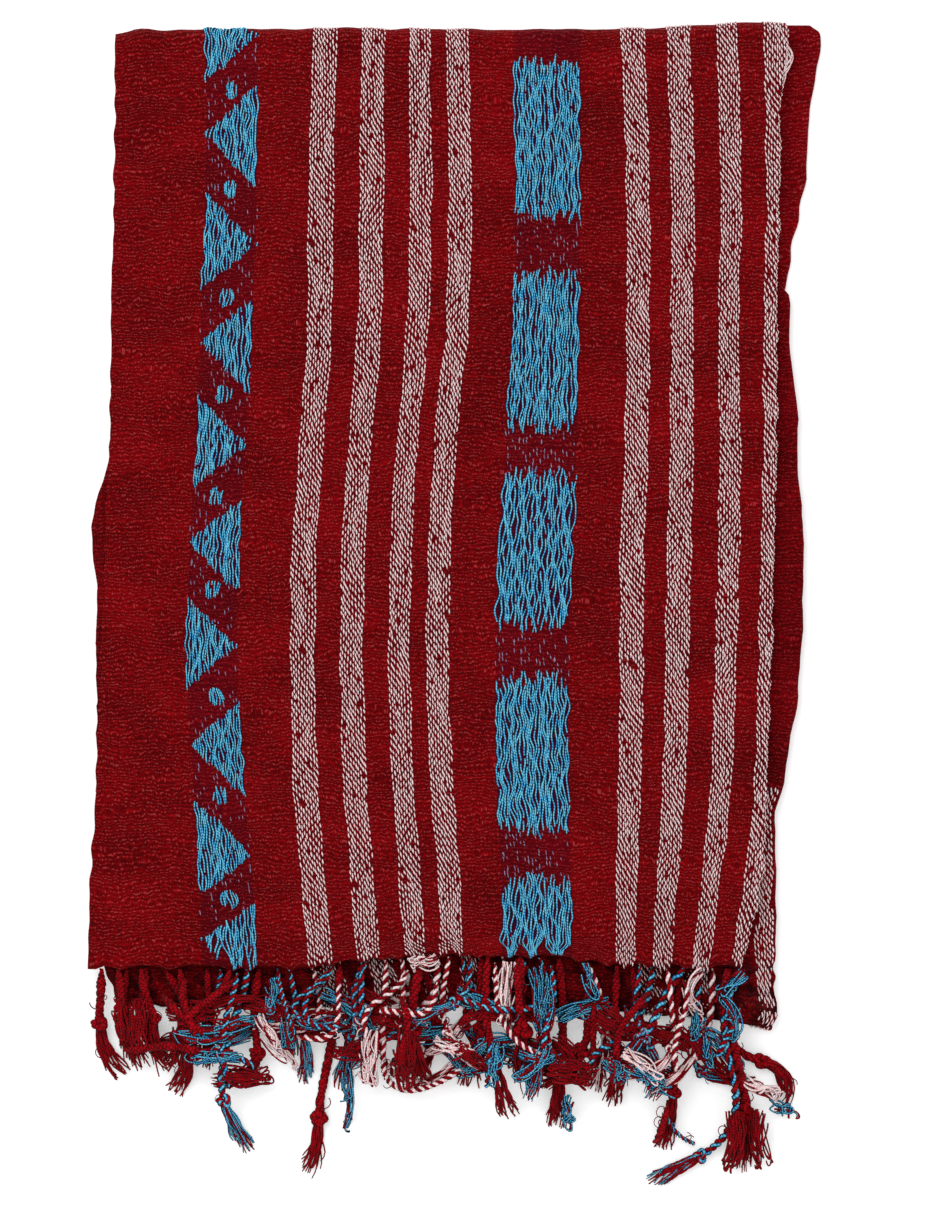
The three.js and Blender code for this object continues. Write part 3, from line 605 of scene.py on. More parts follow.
FLOAT_COLUMN, FLOAT_ROW = 1.3, 3.5  # between neighbouring floats of a white stripe
SLACK_FLOATS = 12
STRAND_STEP = 1.85            # between the stations of a strand
BLOCK_STRANDS = 30
TRIANGLE_STRANDS = 23


def add_floats(piece, pair, q, v, half_length, half_width, lean, seed):
    """Short floats, one for each q and v: a spindle of three square rings. At the share s of its half
    length the ring is at q + lean s, v - half_length s, its size goes with sqrt(1 - 0.8 s^2), and it
    rises by 1 - s^2."""
    chance = np.random.default_rng(seed)
    share = np.array([-0.95, 0.05, 0.95])[:, None]
    size = np.sqrt(1 - 0.8 * share**2) - 0.2 * (np.abs(share) > 0.9)
    angle = ring_angles(4)[None, :]
    q, v, half_length, half_width, lean = (
        np.broadcast_to(value, q.shape)[:, None, None] for value in (q, v, half_length, half_width, lean)
    )
    ring_q = q + lean * share + half_width * size * np.cos(angle)
    ring_v = v - half_length * share + 0 * angle
    height = 0.7 * (1 - share**2) - 0.25 + 0.8 * half_width * size * np.sin(angle)
    own = chance.uniform(0, 900, len(q))[:, None]
    add_tubes(piece, pair.at(ring_q, ring_v, height + 0 * ring_q), own + half_length[:, :, 0] * share[:, 0])


def white_floats(stripes, low, high, seed):
    """Places of the stripes' floats: columns 1.3 mm apart and rows 3.5 mm apart, every other column
    dropped by half a row, all of them drifting a little, and a few left out."""
    chance = np.random.default_rng(seed)
    places = []
    for left, right in stripes:
        count = max(2, int(round((right - left) / FLOAT_COLUMN)))
        column, row = np.meshgrid(np.arange(count), np.arange(low, high, FLOAT_ROW), indexing="ij")
        drift = 0.8 * ripples(0.1 * column, 0.04 * row, 2.2, seed + 5)
        v = row + FLOAT_ROW / 2 * (column % 2) + drift + chance.uniform(-0.38, 0.38, row.shape)
        q = left + (column + 0.5) * (right - left) / count
        q = q + 0.42 * ripples(2.2 * q, v, 24, seed + 1) + chance.uniform(-0.24, 0.24, row.shape)
        keep = chance.uniform(size=row.shape) > 0.03
        places.append(np.stack([q[keep], v[keep]]))
    return np.concatenate(places, axis=1)


def add_white_stripes(piece, pair, stripes, low, high, seed):
    q, v = white_floats(stripes, low, high, seed)
    chance = np.random.default_rng(seed + 2)
    half_length = chance.uniform(1.3, 1.75, len(q))
    half_width = chance.uniform(0.45, 0.61, len(q))
    lean = 0.15 + 0.15 * ripples(q, v, 40, seed + 3) + chance.uniform(-0.2, 0.2, len(q))
    add_floats(piece, pair, q, v, half_length, half_width, lean, seed + 4)


def add_slack_floats(piece):
    """Floats of the last stripe that hang slack over the top corner of the front. At the share t of
    its way each is at x = 168.5 + bulge sin(pi t), a little lower down the cloth for each t, and
    sinks as it bulges."""
    chance = np.random.default_rng(180)
    share = np.linspace(0, 1, 14)[None, :]
    lows, highs = [[226], [9], [2.5]], [[243], [22], [7.5]]
    start, span, bulge = chance.uniform(lows, highs, (3, SLACK_FLOATS))[..., None]
    arc = np.sin(np.pi * share)
    path = np.stack([168.5 + bulge * arc, start - span * share, 14.2 - 0.8 * bulge * arc + 0 * share], -1)
    add_path_tubes(piece, path, 0.42, 4, chance.uniform(0, 900, (SLACK_FLOATS, 1)))


def add_strands(piece, pair, q, low, high, seed, drawn=None):
    """Long blue strands side by side, sewn down here and there. A strand runs at q + 0.8 r(3.2 q, v)
    plus its own sine wave, with r a ripple of 17 mm, so that neighbours draw together and part. It is
    a round yarn, which lies at 0.4 mm, dips under the ground where its cosine of 18 to 40 mm peaks,
    and sinks at both ends."""
    chance = np.random.default_rng(seed)
    stations = max(6, int(np.max(high - low) / STRAND_STEP))
    share = np.linspace(0, 1, stations)[None, :]
    v = high[:, None] + (low - high)[:, None] * share
    phase, period = chance.uniform(0, FULL_TURN, (3, len(q), 1)), chance.uniform(18, 40, (len(q), 1))
    wave = 0.3 * np.sin(FULL_TURN * v / chance.uniform(8, 15, (len(q), 1)) + phase[0])
    middle_q = q[:, None] + wave + 0.8 * ripples(3.2 * q[:, None], v, 17, seed)
    if drawn:
        middle_q = drawn(q[:, None], middle_q, v)
    dive = eased(np.cos(FULL_TURN * v / period + phase[1]), 0.94, 0.995)
    ends = eased(np.minimum(high[:, None] - v, v - low[:, None]), 0, 1.6)
    lift = 0.4 + 0.18 * np.sin(FULL_TURN * v / 7 + phase[2]) - 1.1 * dive - 1.0 * (1 - ends)
    radius = (0.56 + 0.07 * chance.uniform(-1, 1, (len(q), 1))) * (0.75 + 0.25 * ends)
    angle = ring_angles(6)[None, None, :]
    ring_q = middle_q[:, :, None] + radius[:, :, None] * np.cos(angle)
    height = lift[:, :, None] + radius[:, :, None] * np.sin(angle)
    rings = pair.at(ring_q, v[:, :, None] + 0 * angle, height)
    add_tubes(piece, rings, chance.uniform(0, 900, (len(q), 1)) - v)


def add_blocks(piece):
    """The band of blocks: 30 strands side by side, the middle ones a little longer, with ragged ends."""
    left, right = BAND
    count = BLOCK_STRANDS
    for number, (high, low) in enumerate(BLOCKS):
        chance = np.random.default_rng(40 + number)
        q = left + (np.arange(count) + 0.5) * (right - left) / count
        longer = 3.5 * (1 - ((q - (left + right) / 2) / 17) ** 2)
        ends = chance.uniform(-4.4, 3.4, (2, count))
        drawn = gathered_at_hem((36, 45.5, 57)) if low < HEM_Y else None
        bottom = np.where(low < HEM_Y, HEM_Y + 0 * q, low - longer - ends[1])
        add_strands(piece, front, q, bottom, high + longer + ends[0], 50 + number, drawn)


def gathered_at_hem(places):
    """Strands drawn together, each towards the place nearest to where it belongs, as they come to the
    hem."""
    def drawn(q, wandering, v):
        near = np.array(places)[np.abs(q[..., None] - np.array(places)).argmin(-1)]
        return wandering + 0.6 * (near - q) * (1 - eased(v, HEM_Y - 1, HEM_Y + 17))
    return drawn


def add_triangles(piece):
    """The border: upright strands, each as long as the triangle is high there."""
    count = TRIANGLE_STRANDS
    for number, (side, high, low, apex) in enumerate(TRIANGLES):
        chance = np.random.default_rng(60 + number)
        share = (np.arange(count) + 0.4) / count
        q = BORDER_Q + side * BORDER_HALF * (1 - 2 * share)
        ragged = chance.uniform(-0.8, 0.8, (2, count))
        top = high + (apex - high) * share + ragged[0] + 0.6
        bottom = low + (apex - low) * share + ragged[1] - 0.6
        drawn = gathered_at_hem((-126, -114, -106)) if low < HEM_Y else None
        add_strands(piece, front, q, np.maximum(bottom, HEM_Y), top, 70 + number, drawn)


def add_dots(piece):
    for number, (q, v) in enumerate(DOTS):
        across = q + np.linspace(-3.2, 3.2, 7)
        half = np.array([3.2, 4.4, 5.1, 5.2, 5.0, 4.3, 3.2])
        add_strands(piece, front, across, v - half, v + half, 90 + number)


def add_specks(piece, pair, left, right, low, high, count, seed, clear=lambda q, v: q < 1e9):
    """Sparse ends that show in the ground, where the yarn runs below it: on columns 1.7 mm apart."""
    chance = np.random.default_rng(seed)
    q, v = chance.uniform((left, low), (right, high), (count, 2)).T
    q = left + 1.7 * np.round((q - left) / 1.7) + chance.uniform(-0.25, 0.25, count)
    keep = clear(q, v)
    q, v = q[keep], v[keep]
    add_floats(piece, pair, q, v, chance.uniform(0.8, 1.8, len(q)), 0.34, 0.15, seed + 1)


def outside_triangles(q, v):
    """True where no triangle of the border, nor a dot, comes within a millimetre."""
    clear = np.ones(q.shape, dtype=bool)
    for side, high, low, apex in TRIANGLES:
        share = np.clip((1 - side * (q - BORDER_Q) / BORDER_HALF) / 2, 0, 1)
        clear &= (v > high + (apex - high) * share + 1) | (v < low + (apex - low) * share - 1)
    for dot_q, dot_v in DOTS:
        clear &= np.hypot(q - dot_q, v - dot_v) > 6
    return clear


# ---- Fringe -------------------------------------------------------------------------------------------

WAY_STEPS = 200
TWIST_STEP = 0.72             # between the stations of a twisted ply
TASSEL_YARNS = 30


def way_in_plan(start, length, headings):
    """A route in plan, in 200 steps: each goes on by length / 200 in the heading of its place."""
    places = np.arange(WAY_STEPS) / WAY_STEPS
    heading = np.radians(smooth_through(np.linspace(0, 1, len(headings)), headings, places))
    x = start[0] + np.concatenate([[0], np.cumsum(np.sin(heading))]) * length / WAY_STEPS
    y = start[1] - np.concatenate([[0], np.cumsum(np.cos(heading))]) * length / WAY_STEPS
    return x, y


def cord_form(length, half):
    """A cord's stations: their shares of its length, and its half widths and half heights there."""
    twisted = np.array(TWIST_FORM) * (1 - END_LENGTH / length, half, half)
    end = np.array(END_FORM) * (-1 / length, half, half) + (1, 0, 0)
    return np.concatenate([twisted, end]).T


def let_down(x, y, wide, high, along, root_height, lying):
    """Heights of a cord's stations when it is let down onto the floor, the middle panel and the cords
    lying there.

    At every feeler the need is the ground plus its half height; above a lying cord it is that cord's
    height plus both half heights times sqrt(1 - (apart / reach)^2). A station takes the highest need,
    less CORD_SLOPE for each mm past CORD_STIFF between the two.
    """
    share = np.arange(5 * (len(x) - 1) + 1) / 5
    feel = {
        name: np.interp(share, np.arange(len(x)), values)
        for name, values in {"x": x, "y": y, "wide": wide, "high": high, "along": along}.items()
    }
    ground = np.where(feel["y"] > MIDDLE_FOLD_Y - feel["wide"], MIDDLE_TOP, 0)
    need = ground + feel["high"] + CORD_AIR
    if lying:
        names = ("x", "y", "z", "wide", "high")
        other = {name: np.concatenate([cord[name] for cord in lying])[None] for name in names}
        here = {name: values[:, None] for name, values in feel.items()}
        apart = np.hypot(here["x"] - other["x"], here["y"] - other["y"])
        reach = CORD_REACH * (here["wide"] + other["wide"] + CORD_AIR)
        over = (here["high"] + other["high"] + CORD_AIR) * np.sqrt(np.clip(1 - (apart / reach) ** 2, 0, 1))
        need = np.maximum(need, np.where(apart < reach, other["z"] + over, 0).max(1))
    away = np.maximum(0, np.abs(feel["along"][None] - along[:, None]) - CORD_STIFF)
    z = (need[None] - CORD_SLOPE * away).max(1)
    if root_height:
        z[0] = root_height
    feel["z"] = np.interp(share, np.arange(len(x)), z)
    lying.append(feel)
    return z


class Route:
    """The route of a cord or a bunch of yarn over what lies there, smooth through its stations."""

    def __init__(self, start, length, headings, form, root_height, lying):
        share, wide, high = form
        self.length = length
        self.way = way_in_plan(start, length, headings)
        station = np.round(share * WAY_STEPS).astype(int)
        x, y = (line[station] for line in self.way)
        z = let_down(x, y, wide, high, share * length, root_height, lying)
        order = np.argsort(share)
        self.z_at = lambda at: smooth_through(share[order], z[order], at)

    def frame_at(self, share):
        """Place, direction, sideways and upward unit vectors at these shares. Past 1 it goes straight
        on."""
        shares = np.linspace(0, 1, WAY_STEPS + 1)
        ahead = 0.004
        x, y = self.way
        before, place, after = (
            np.stack([np.interp(at, shares, x), np.interp(at, shares, y), self.z_at(at)], -1)
            for at in (np.clip(share - ahead, 0, 1 - ahead), share, np.clip(share + ahead, ahead, 1))
        )
        along = after - before
        along /= np.linalg.norm(along, axis=-1, keepdims=True)
        aside = np.stack([-along[..., 1], along[..., 0], 0 * along[..., 0]], -1)
        aside /= np.linalg.norm(aside, axis=-1, keepdims=True)
        place = place + np.maximum(share - 1, 0)[..., None] * self.length * along
        return place, along, aside, np.cross(along, aside)


def add_path_tubes(piece, paths, radius, sides, own):
    """Round tubes along paths (tube, station, xyz): a ring of `sides` points about each station,
    square to the way there. Everything is then laid with the stack."""
    along = np.gradient(paths, axis=1)
    along /= np.linalg.norm(along, axis=-1, keepdims=True) + 1e-9
    aside = np.cross(along, np.array([0.28, 0.17, 0.94]))
    aside /= np.linalg.norm(aside, axis=-1, keepdims=True) + 1e-9
    up = np.cross(aside, along)
    angle = ring_angles(sides)[None, None, :, None]
    radius = np.broadcast_to(radius, paths.shape[:2])[:, :, None, None]
    rings = paths[:, :, None] + radius * (np.cos(angle) * aside[:, :, None] + np.sin(angle) * up[:, :, None])
    steps = np.linalg.norm(np.diff(paths, axis=1), axis=-1)
    run = np.concatenate([np.zeros((len(paths), 1)), np.cumsum(steps, axis=1)], axis=1)
    add_tubes(piece, laid(rings[..., 0], rings[..., 1], np.maximum(rings[..., 2], 0.15)), own + run)


def add_twist(pieces, cord, twisted, half, yarn, chance):
    """Twisted cord: a red ply and one of its second yarn, or three red ones, wound round its route. A
    ply is a helix: place + offset (cos a aside + sin a up), with a growing by a full turn for each
    pitch."""
    plies = ("red", yarn) if yarn != "red" else ("red", "red", "red")
    along = np.linspace(0, twisted, int(twisted / TWIST_STEP))
    place, _, aside, up = cord.frame_at(along / cord.length)
    pitch = half * (chance.uniform(3.6, 4.6) if yarn == "red" else chance.uniform(2.3, 3.6))
    uneven = 0.6 * ripples(along, 0, 14, int(cord.length * 10))
    swell = half * (0.5 + 0.5 * eased(along, 0, 6)) * (1 + 0.1 * ripples(along, 0, 9, int(half * 100)))
    for number, colour in enumerate(plies):
        angle = (FULL_TURN * along / pitch + uneven + number * FULL_TURN / len(plies))[:, None]
        path = place + 0.47 * swell[:, None] * (np.cos(angle) * aside + np.sin(angle) * up)
        fat = 0.5 * swell * (1 + 0.1 * ripples(along, 0, 4, number))
        add_path_tubes(pieces[colour], path[None], fat[None], 6, chance.uniform(0, 900))


def add_knot(pieces, cord, half, yarn, chance):
    """The knot: two trefoils, (sin t + 2 sin 2t, cos t - 2 cos 2t, -1.3 sin 3t), each turned in its
    own way."""
    place, along, aside, up = cord.frame_at(np.array([1 - KNOT_BEFORE_TIP / cord.length]))
    t = np.linspace(0, FULL_TURN, 32)
    size = 0.46 * half
    loop = np.sin(t) + 2 * np.sin(2 * t), np.cos(t) - 2 * np.cos(2 * t), -1.3 * np.sin(3 * t)
    for colour in ("red", yarn):
        tilt, squash = chance.uniform(0, FULL_TURN), chance.uniform(0.8, 1.2)
        x = (loop[0] * np.cos(tilt) - loop[1] * np.sin(tilt)) * squash
        y = (loop[0] * np.sin(tilt) + loop[1] * np.cos(tilt)) / squash
        path = place + size * (x[:, None] * aside + y[:, None] * along + loop[2][:, None] * up)
        add_path_tubes(pieces[colour], path[None], 0.5 * half + 0 * t[None], 6, chance.uniform(0, 900))


def add_yarns(pieces, colours, second, paths, radius, chance):
    """Loose yarns, the second ones in the second colour. Each begins its twist at a place of its own."""
    for colour, chosen in zip(colours, (~second, second)):
        own = chance.uniform(0, 900, (chosen.sum(), 1))
        add_path_tubes(pieces[colour], paths[chosen], radius[chosen], 4, own)


def add_tassel(pieces, cord, half, yarn, chance):
    """The tassel: loose yarns that leave the knot side by side and fan out, each waving and curling
    at its end."""
    share = np.linspace(0, 1, 9)[None, :]
    reach = TASSEL_LENGTH * chance.uniform(0.72, 1.14, (TASSEL_YARNS, 1))
    place, _, aside, up = cord.frame_at(1 - (TASSEL_LENGTH - reach * share) / cord.length)
    spread, rise, curl = chance.uniform(-1, 1, (3, TASSEL_YARNS, 1))
    phase = chance.uniform(0, FULL_TURN, (TASSEL_YARNS, 1))
    width = half * (0.75 + 1.15 * share) * spread + 0.45 * np.sin(share * 9 + phase)
    width = width + 2.4 * curl * share**2 * np.sin(share * 5 + phase)
    height = half * (0.6 - 0.25 * share) * rise + 0.3 * np.cos(share * 8 + phase)
    path = place + width[..., None] * aside + height[..., None] * up
    radius = chance.uniform(0.44, 0.66, (TASSEL_YARNS, 1)) * (1 - 0.4 * share**3)
    add_yarns(pieces, ("red", yarn), np.arange(TASSEL_YARNS) % 2 == 1, path, radius, chance)


def add_curls(pieces, cord, half, yarn, chance):
    """Loose ends along a cord. Each leaves it sideways and curls: an arc that is r sin a aside and r
    (1 - cos a) along, with a radius r that shrinks as it turns."""
    count = 4
    place, along, aside, up = (value[:, None] for value in cord.frame_at(chance.uniform(0.2, 0.95, count)))
    turn = np.linspace(0, 1, 11)[None, :] * chance.uniform(0.9, 3.4, (count, 1))
    radius = chance.uniform(1.2, 5.2, (count, 1)) * (1 - 0.12 * turn)
    side, ahead = chance.choice((-1, 1), (2, count, 1))
    sideways = (side * (0.5 * half + radius * np.sin(turn)))[..., None] * aside
    onwards = (ahead * radius * (1 - np.cos(turn)))[..., None] * along
    lift = (0.5 * half + 0.8 * np.sin(2 * turn))[..., None] * up
    thin = chance.uniform(0.2, 0.3, (count, 1)) + 0 * turn
    path = place + sideways + onwards + lift
    add_yarns(pieces, ("red", yarn), np.arange(count) % 2 == 1, path, thin, chance)


def add_loop(pieces, row, lying, chance):
    """A loop of twisted cord, laid over everything else, with its two ends drawn down between the
    cords."""
    x, y, length, half, yarn, headings = row
    stations = np.linspace(0, 1, 9)
    form = stations, half + 0 * stations, 0.55 * half + 0 * stations
    route = Route((x, y), length, headings, form, None, lying)
    height = route.z_at
    route.z_at = lambda at: height(at) - 2.6 * half * (1 - eased(np.minimum(at, 1 - at) * length, 0, 5))
    add_twist(pieces, route, length, half, yarn, chance)
    add_curls(pieces, route, half, yarn, chance)


def add_bunch(pieces, row, lying, chance):
    """A bunch of loose yarn laid over the cords. A yarn runs out and may loop back: at the share t of
    its way it is at the share sin(turn t) of the bunch, to the side by its own place, a loop cos(turn
    t) and a wave."""
    x, y, length, half, yarn, headings = row
    stations = np.linspace(0, 1, 6)
    form = stations, half * (0.7 + 0.3 * np.sin(np.pi * stations)), 1.2 + 0 * stations
    route = Route((x, y), length, headings, form, None, list(lying))
    yarns = int(half * 5.4)
    share = np.linspace(0, 1, 15)[None, :]
    lows = [[1.3], [0.5], [-1], [-1], [0], [0.5], [-0.15], [0.5]]
    highs = [[2.9], [2.2], [1], [1], [FULL_TURN], [2.2], [0.3], [1.22]]
    turn, loop, spread, rise, phase, bend, begin, reach = chance.uniform(lows, highs, (8, yarns))[..., None]
    at = begin + (reach - begin) * np.sin(turn * share)
    place, _, aside, up = route.frame_at(np.maximum(at, 0))
    wave = bend * np.sin((4 + 2 * loop) * share + phase)
    width = 0.75 * half * spread + loop * np.cos(turn * share) + wave
    height = 1.1 * rise + 0.4 * np.sin(6 * share + 2 * phase) + 0.7 * (1 - spread**2)
    path = place + width[..., None] * aside + height[..., None] * up
    fat = chance.uniform(0.4, 0.66, (yarns, 1)) + 0 * share
    add_yarns(pieces, (yarn, "red"), np.arange(yarns) % 4 == 3, path, fat, chance)


def fringe(name, rows, root_height, lying, materials, seed, loops=(), bunches=()):
    """One hem's fringe as a piece for each yarn."""
    chance = np.random.default_rng(seed)
    pieces = {yarn: Piece(f"{name}_{yarn}") for yarn in ("red", "white", "blue")}
    for root, length, half, yarn, headings in rows:
        start = root, HEM_Y - AIR - ROOT_HALF
        cord = Route(start, length, headings, cord_form(length, half), root_height, lying)
        add_twist(pieces, cord, length - END_LENGTH + 2.5, half, yarn, chance)
        for add in (add_knot, add_tassel, add_curls):
            add(pieces, cord, half, yarn, chance)
    for row in loops:
        add_loop(pieces, row, list(lying), chance)
    for row in bunches:
        add_bunch(pieces, row, lying, chance)
    return [piece.finished(materials[yarn], (name,), "fringe_yarn") for yarn, piece in pieces.items()]


# ---- Materials ----------------------------------------------------------------------------------------

def dye(red, green, blue):
    """A colour given in the usual steps of 0 to 255, as the share of light that it sends back."""
    steps = np.array([red, green, blue]) / 255
    light = np.where(steps <= 0.04045, steps / 12.92, ((steps + 0.055) / 1.055) ** 2.4)
    return (*(float(value) for value in light), 1.0)


def operator(name, turned=False):
    """A method that adds a Math node of this kind, with its two inputs turned round if asked."""
    def apply(value, other=0.0):
        inputs = (other, value) if turned else (value, other)
        return value.finish.node("ShaderNodeMath", {"operation": name}, dict(enumerate(inputs)))
    return apply


class Value:
    """A number that changes over a surface. Sums, products and the like add Math nodes to its
    material."""

    def __init__(self, finish, socket):
        self.finish, self.socket = finish, socket

    __add__ = operator("ADD")
    __radd__ = operator("ADD", turned=True)
    __sub__ = operator("SUBTRACT")
    __rsub__ = operator("SUBTRACT", turned=True)
    __mul__ = operator("MULTIPLY")
    __rmul__ = operator("MULTIPLY", turned=True)
    __truediv__ = operator("DIVIDE")
    __pow__ = operator("POWER")
    sine = operator("SINE")
    least = operator("MINIMUM")
    most = operator("MAXIMUM")

    def within(self):
        return self.most(0.0).least(1.0)


class Finish:
    """A material being put together from nodes."""

    def __init__(self, name):
        self.material = bpy.data.materials.new(name)
        self.material.use_nodes = True
        self.tree = self.material.node_tree
        self.tree.nodes.clear()

    def node(self, kind, settings=None, values=None, output=0):
        """Adds a node: its settings first, then what each of its sockets holds or is linked to."""
        node = self.tree.nodes.new(kind)
        for setting, value in (settings or {}).items():
            setattr(node, setting, value)
        for socket, value in (values or {}).items():
            if isinstance(value, Value):
                self.tree.links.new(value.socket, node.inputs[socket])
            else:
                node.inputs[socket].default_value = value
        return Value(self, node.outputs[output]) if node.outputs else node

    def weave(self):
        """The piece's own pattern coordinates, across and along, in millimetres."""
        place = self.node("ShaderNodeUVMap", {"uv_map": "weave"})
        return (
            self.node("ShaderNodeSeparateXYZ", values={0: place}),
            self.node("ShaderNodeSeparateXYZ", values={0: place}, output=1),
        )

    def cloudy(self, across, along, detail=2.0):
        """Smooth noise from 0 to 1 with lumps of about one unit."""
        place = self.node("ShaderNodeCombineXYZ", values={0: across, 1: along})
        values = {0: place, "Scale": 1.0, "Detail": detail}
        return self.node("ShaderNodeTexNoise", {"noise_dimensions": "2D"}, values)

    def blend(self, share, first, second):
        """A colour that goes from the first to the second."""
        return self.node("ShaderNodeMix", {"data_type": "RGBA"}, {0: share, 6: first, 7: second}, output=2)

    def wool(self, colour, height, relief, sheen=0.03, gloss=0.04, glow=0.0):
        """Closes the material: matt wool with a little sheen, with this colour and this height in
        millimetres."""
        bump = self.node("ShaderNodeBump", values={"Strength": relief, "Distance": 0.001, "Height": height})
        skin = {"Base Color": colour, "Roughness": 0.85, "Normal": bump, "Sheen Weight": sheen}
        skin["Sheen Roughness"] = 0.5
        skin["Specular IOR Level"] = gloss
        skin["Emission Strength"] = glow
        shader = self.node("ShaderNodeBsdfPrincipled", values=skin)
        self.node("ShaderNodeOutputMaterial", values={"Surface": shader})
        return self.material


RIDGE_PITCH = 2.05


def between(place, low, high, soft=0.5):
    """1 from low to high and 0 outside, over a soft edge."""
    return ((place - low) / soft).within() * ((high - place) / soft).within()


def crepe(name, crest, valley_shade, ridge_glint, stripes=(), band=False, pucker_shade=False):
    """Crepe wool: wavy ridges across the cloth, 2.05 mm apart, scalloped, broken into short dashes
    and cloudy in tone, with their crests painted lighter and their valleys darker as painted highlight
    and painted shade, and small pale painted glints on the crests. The ground under the white stripes,
    the border and the blocks gets painted shade, navy where the blue strands lie. Puckers add blotches
    of painted shade to the hollows near the fold below the hem."""
    finish = Finish(name)
    across, along = finish.weave()
    wander = finish.cloudy(across / 26.0, along / 17.0) - 0.5
    kink = finish.cloudy(across / 2.6, along / 4.0, 1.0) - 0.5
    course = (along + 9.0 * wander + 2.5 * kink) / RIDGE_PITCH
    ridge = 0.5 + 0.5 * (FULL_TURN * course).sine()
    dash = finish.cloudy(across / 2.2, course * 1.1, 1.5)
    fuzz = finish.cloudy(across / 0.7, along / 0.5, 2.0)
    tone = finish.cloudy(across / 45.0, along / 30.0, 3.0) - 0.5
    slub = ((finish.cloudy(across / 70.0, along / 2.1, 1.0) - 0.6) * 4.0).within()
    # Crests get the crest colour as painted highlight and the valleys the darker colour as painted shade;
    # dash, tone, slub and fuzz vary it at random.
    light = 0.36 + (ridge - 0.5) * (0.9 * dash) + 1.2 * (dash - 0.5)
    light = (light + 0.9 * tone + 0.3 * slub + 2.0 * (fuzz - 0.5)).within()
    colour = finish.blend(light, valley_shade, crest)
    # Painted glints: small pale spots on the ridge crests.
    glint_spots = finish.cloudy(across / 0.8, course * 1.7, 0.0)
    colour = finish.blend(((ridge * glint_spots - 0.5) * 6.0).within() * 0.5, colour, ridge_glint)
    # Painted shade on the ground under the white floats.
    for left, right in stripes:
        colour = finish.blend(0.3 * between(across, left - 0.4, right + 0.4), colour, dye(62, 4, 14))
    if band:
        # Painted shade on the ground under the border and the blocks.
        border = between(across, BORDER_Q - BORDER_HALF, BORDER_Q + BORDER_HALF)
        blocks = between(across, *BAND)
        colour = finish.blend(0.38 * border.most(blocks), colour, dye(58, 0, 16))
        share = (across - BORDER_Q) / (2 * BORDER_HALF)
        # Navy painted shade where the blue strands lie, between and beside them, fading out near the hem.
        strand_shade = 0.0
        for high, low in BLOCKS:
            strand_shade = strand_shade + blocks * between(along, low + 1, high - 1, 5.0)
        for side, high, low, apex in TRIANGLES:
            slope = 0.5 - side * share
            top, bottom = high + (apex - high) * slope, low + (apex - low) * slope
            strand_shade = strand_shade + border * (top - along).within() * (along - bottom).within()
        above_hem = ((along - HEM_Y - 10) / 8.0).within()
        colour = finish.blend(0.55 * strand_shade.within() * above_hem, colour, dye(8, 8, 46))
    if pucker_shade:
        # Painted shade: dark blotches in the hollows below the hem.
        hollow_shade = ((0.56 - finish.cloudy(across / 7.0, along / 9.0, 2.0)) * 5.0).within()
        colour = finish.blend(0.8 * hollow_shade * ((-236.0 - along) / 8.0).within(), colour, dye(30, 0, 2))
    height = 0.7 * ridge * (0.3 + dash) + 0.25 * fuzz
    return finish.wool(colour, height, 0.6, sheen=0.02)


def spun(name, light, dark, side_shade, edge=0.75, pitch=1.5):
    """Spun yarn: fine twist lines round it, painted lighter on their ridges and darker in their grooves as
    painted highlight and painted shade, each length of yarn a little different in tone, and painted
    shade in a deeper colour towards its sides, away from its top, where it meets its neighbours. The
    nearer edge is to 1, the narrower is its painted light top."""
    finish = Finish(name)
    around, along = finish.weave()
    twist = 0.5 + 0.5 * (FULL_TURN * (along / pitch + around)).sine()
    facing_up = (0.5 + 0.5 * (FULL_TURN * around).sine()) ** 1.6
    tone = finish.cloudy(along / 6.0, around * 0.3, 2.0)
    fuzz = finish.cloudy(along / 0.45, around * 5.0, 2.0)
    # Twist lines painted lighter on their ridges and darker in their grooves as painted highlight and
    # painted shade; tone and fuzz vary at random.
    share = (0.85 * (twist - 0.5) + 2.0 * (tone - 0.5) + 0.9 * (fuzz - 0.5) + 0.5).within()
    colour = finish.blend(share, dark, light)
    # Painted shade towards the yarn's sides, away from its top.
    colour = finish.blend(((edge - facing_up) * 4.0).within(), colour, side_shade)
    return finish.wool(colour, 0.35 * twist + 0.2 * fuzz, 0.5)


def plain_floor():
    """A plain pale floor, a little rough."""
    finish = Finish("pale_floor")
    place = finish.node("ShaderNodeTexCoord", output=3)
    grain = finish.node("ShaderNodeTexNoise", values={0: place, "Scale": 6.0, "Detail": 3.0})
    colour = finish.blend(grain, dye(250, 250, 250), dye(254, 254, 254))
    return finish.wool(colour, grain, 0.02, sheen=0.0, glow=0.34)


# ---- The shawl ----------------------------------------------------------------------------------------

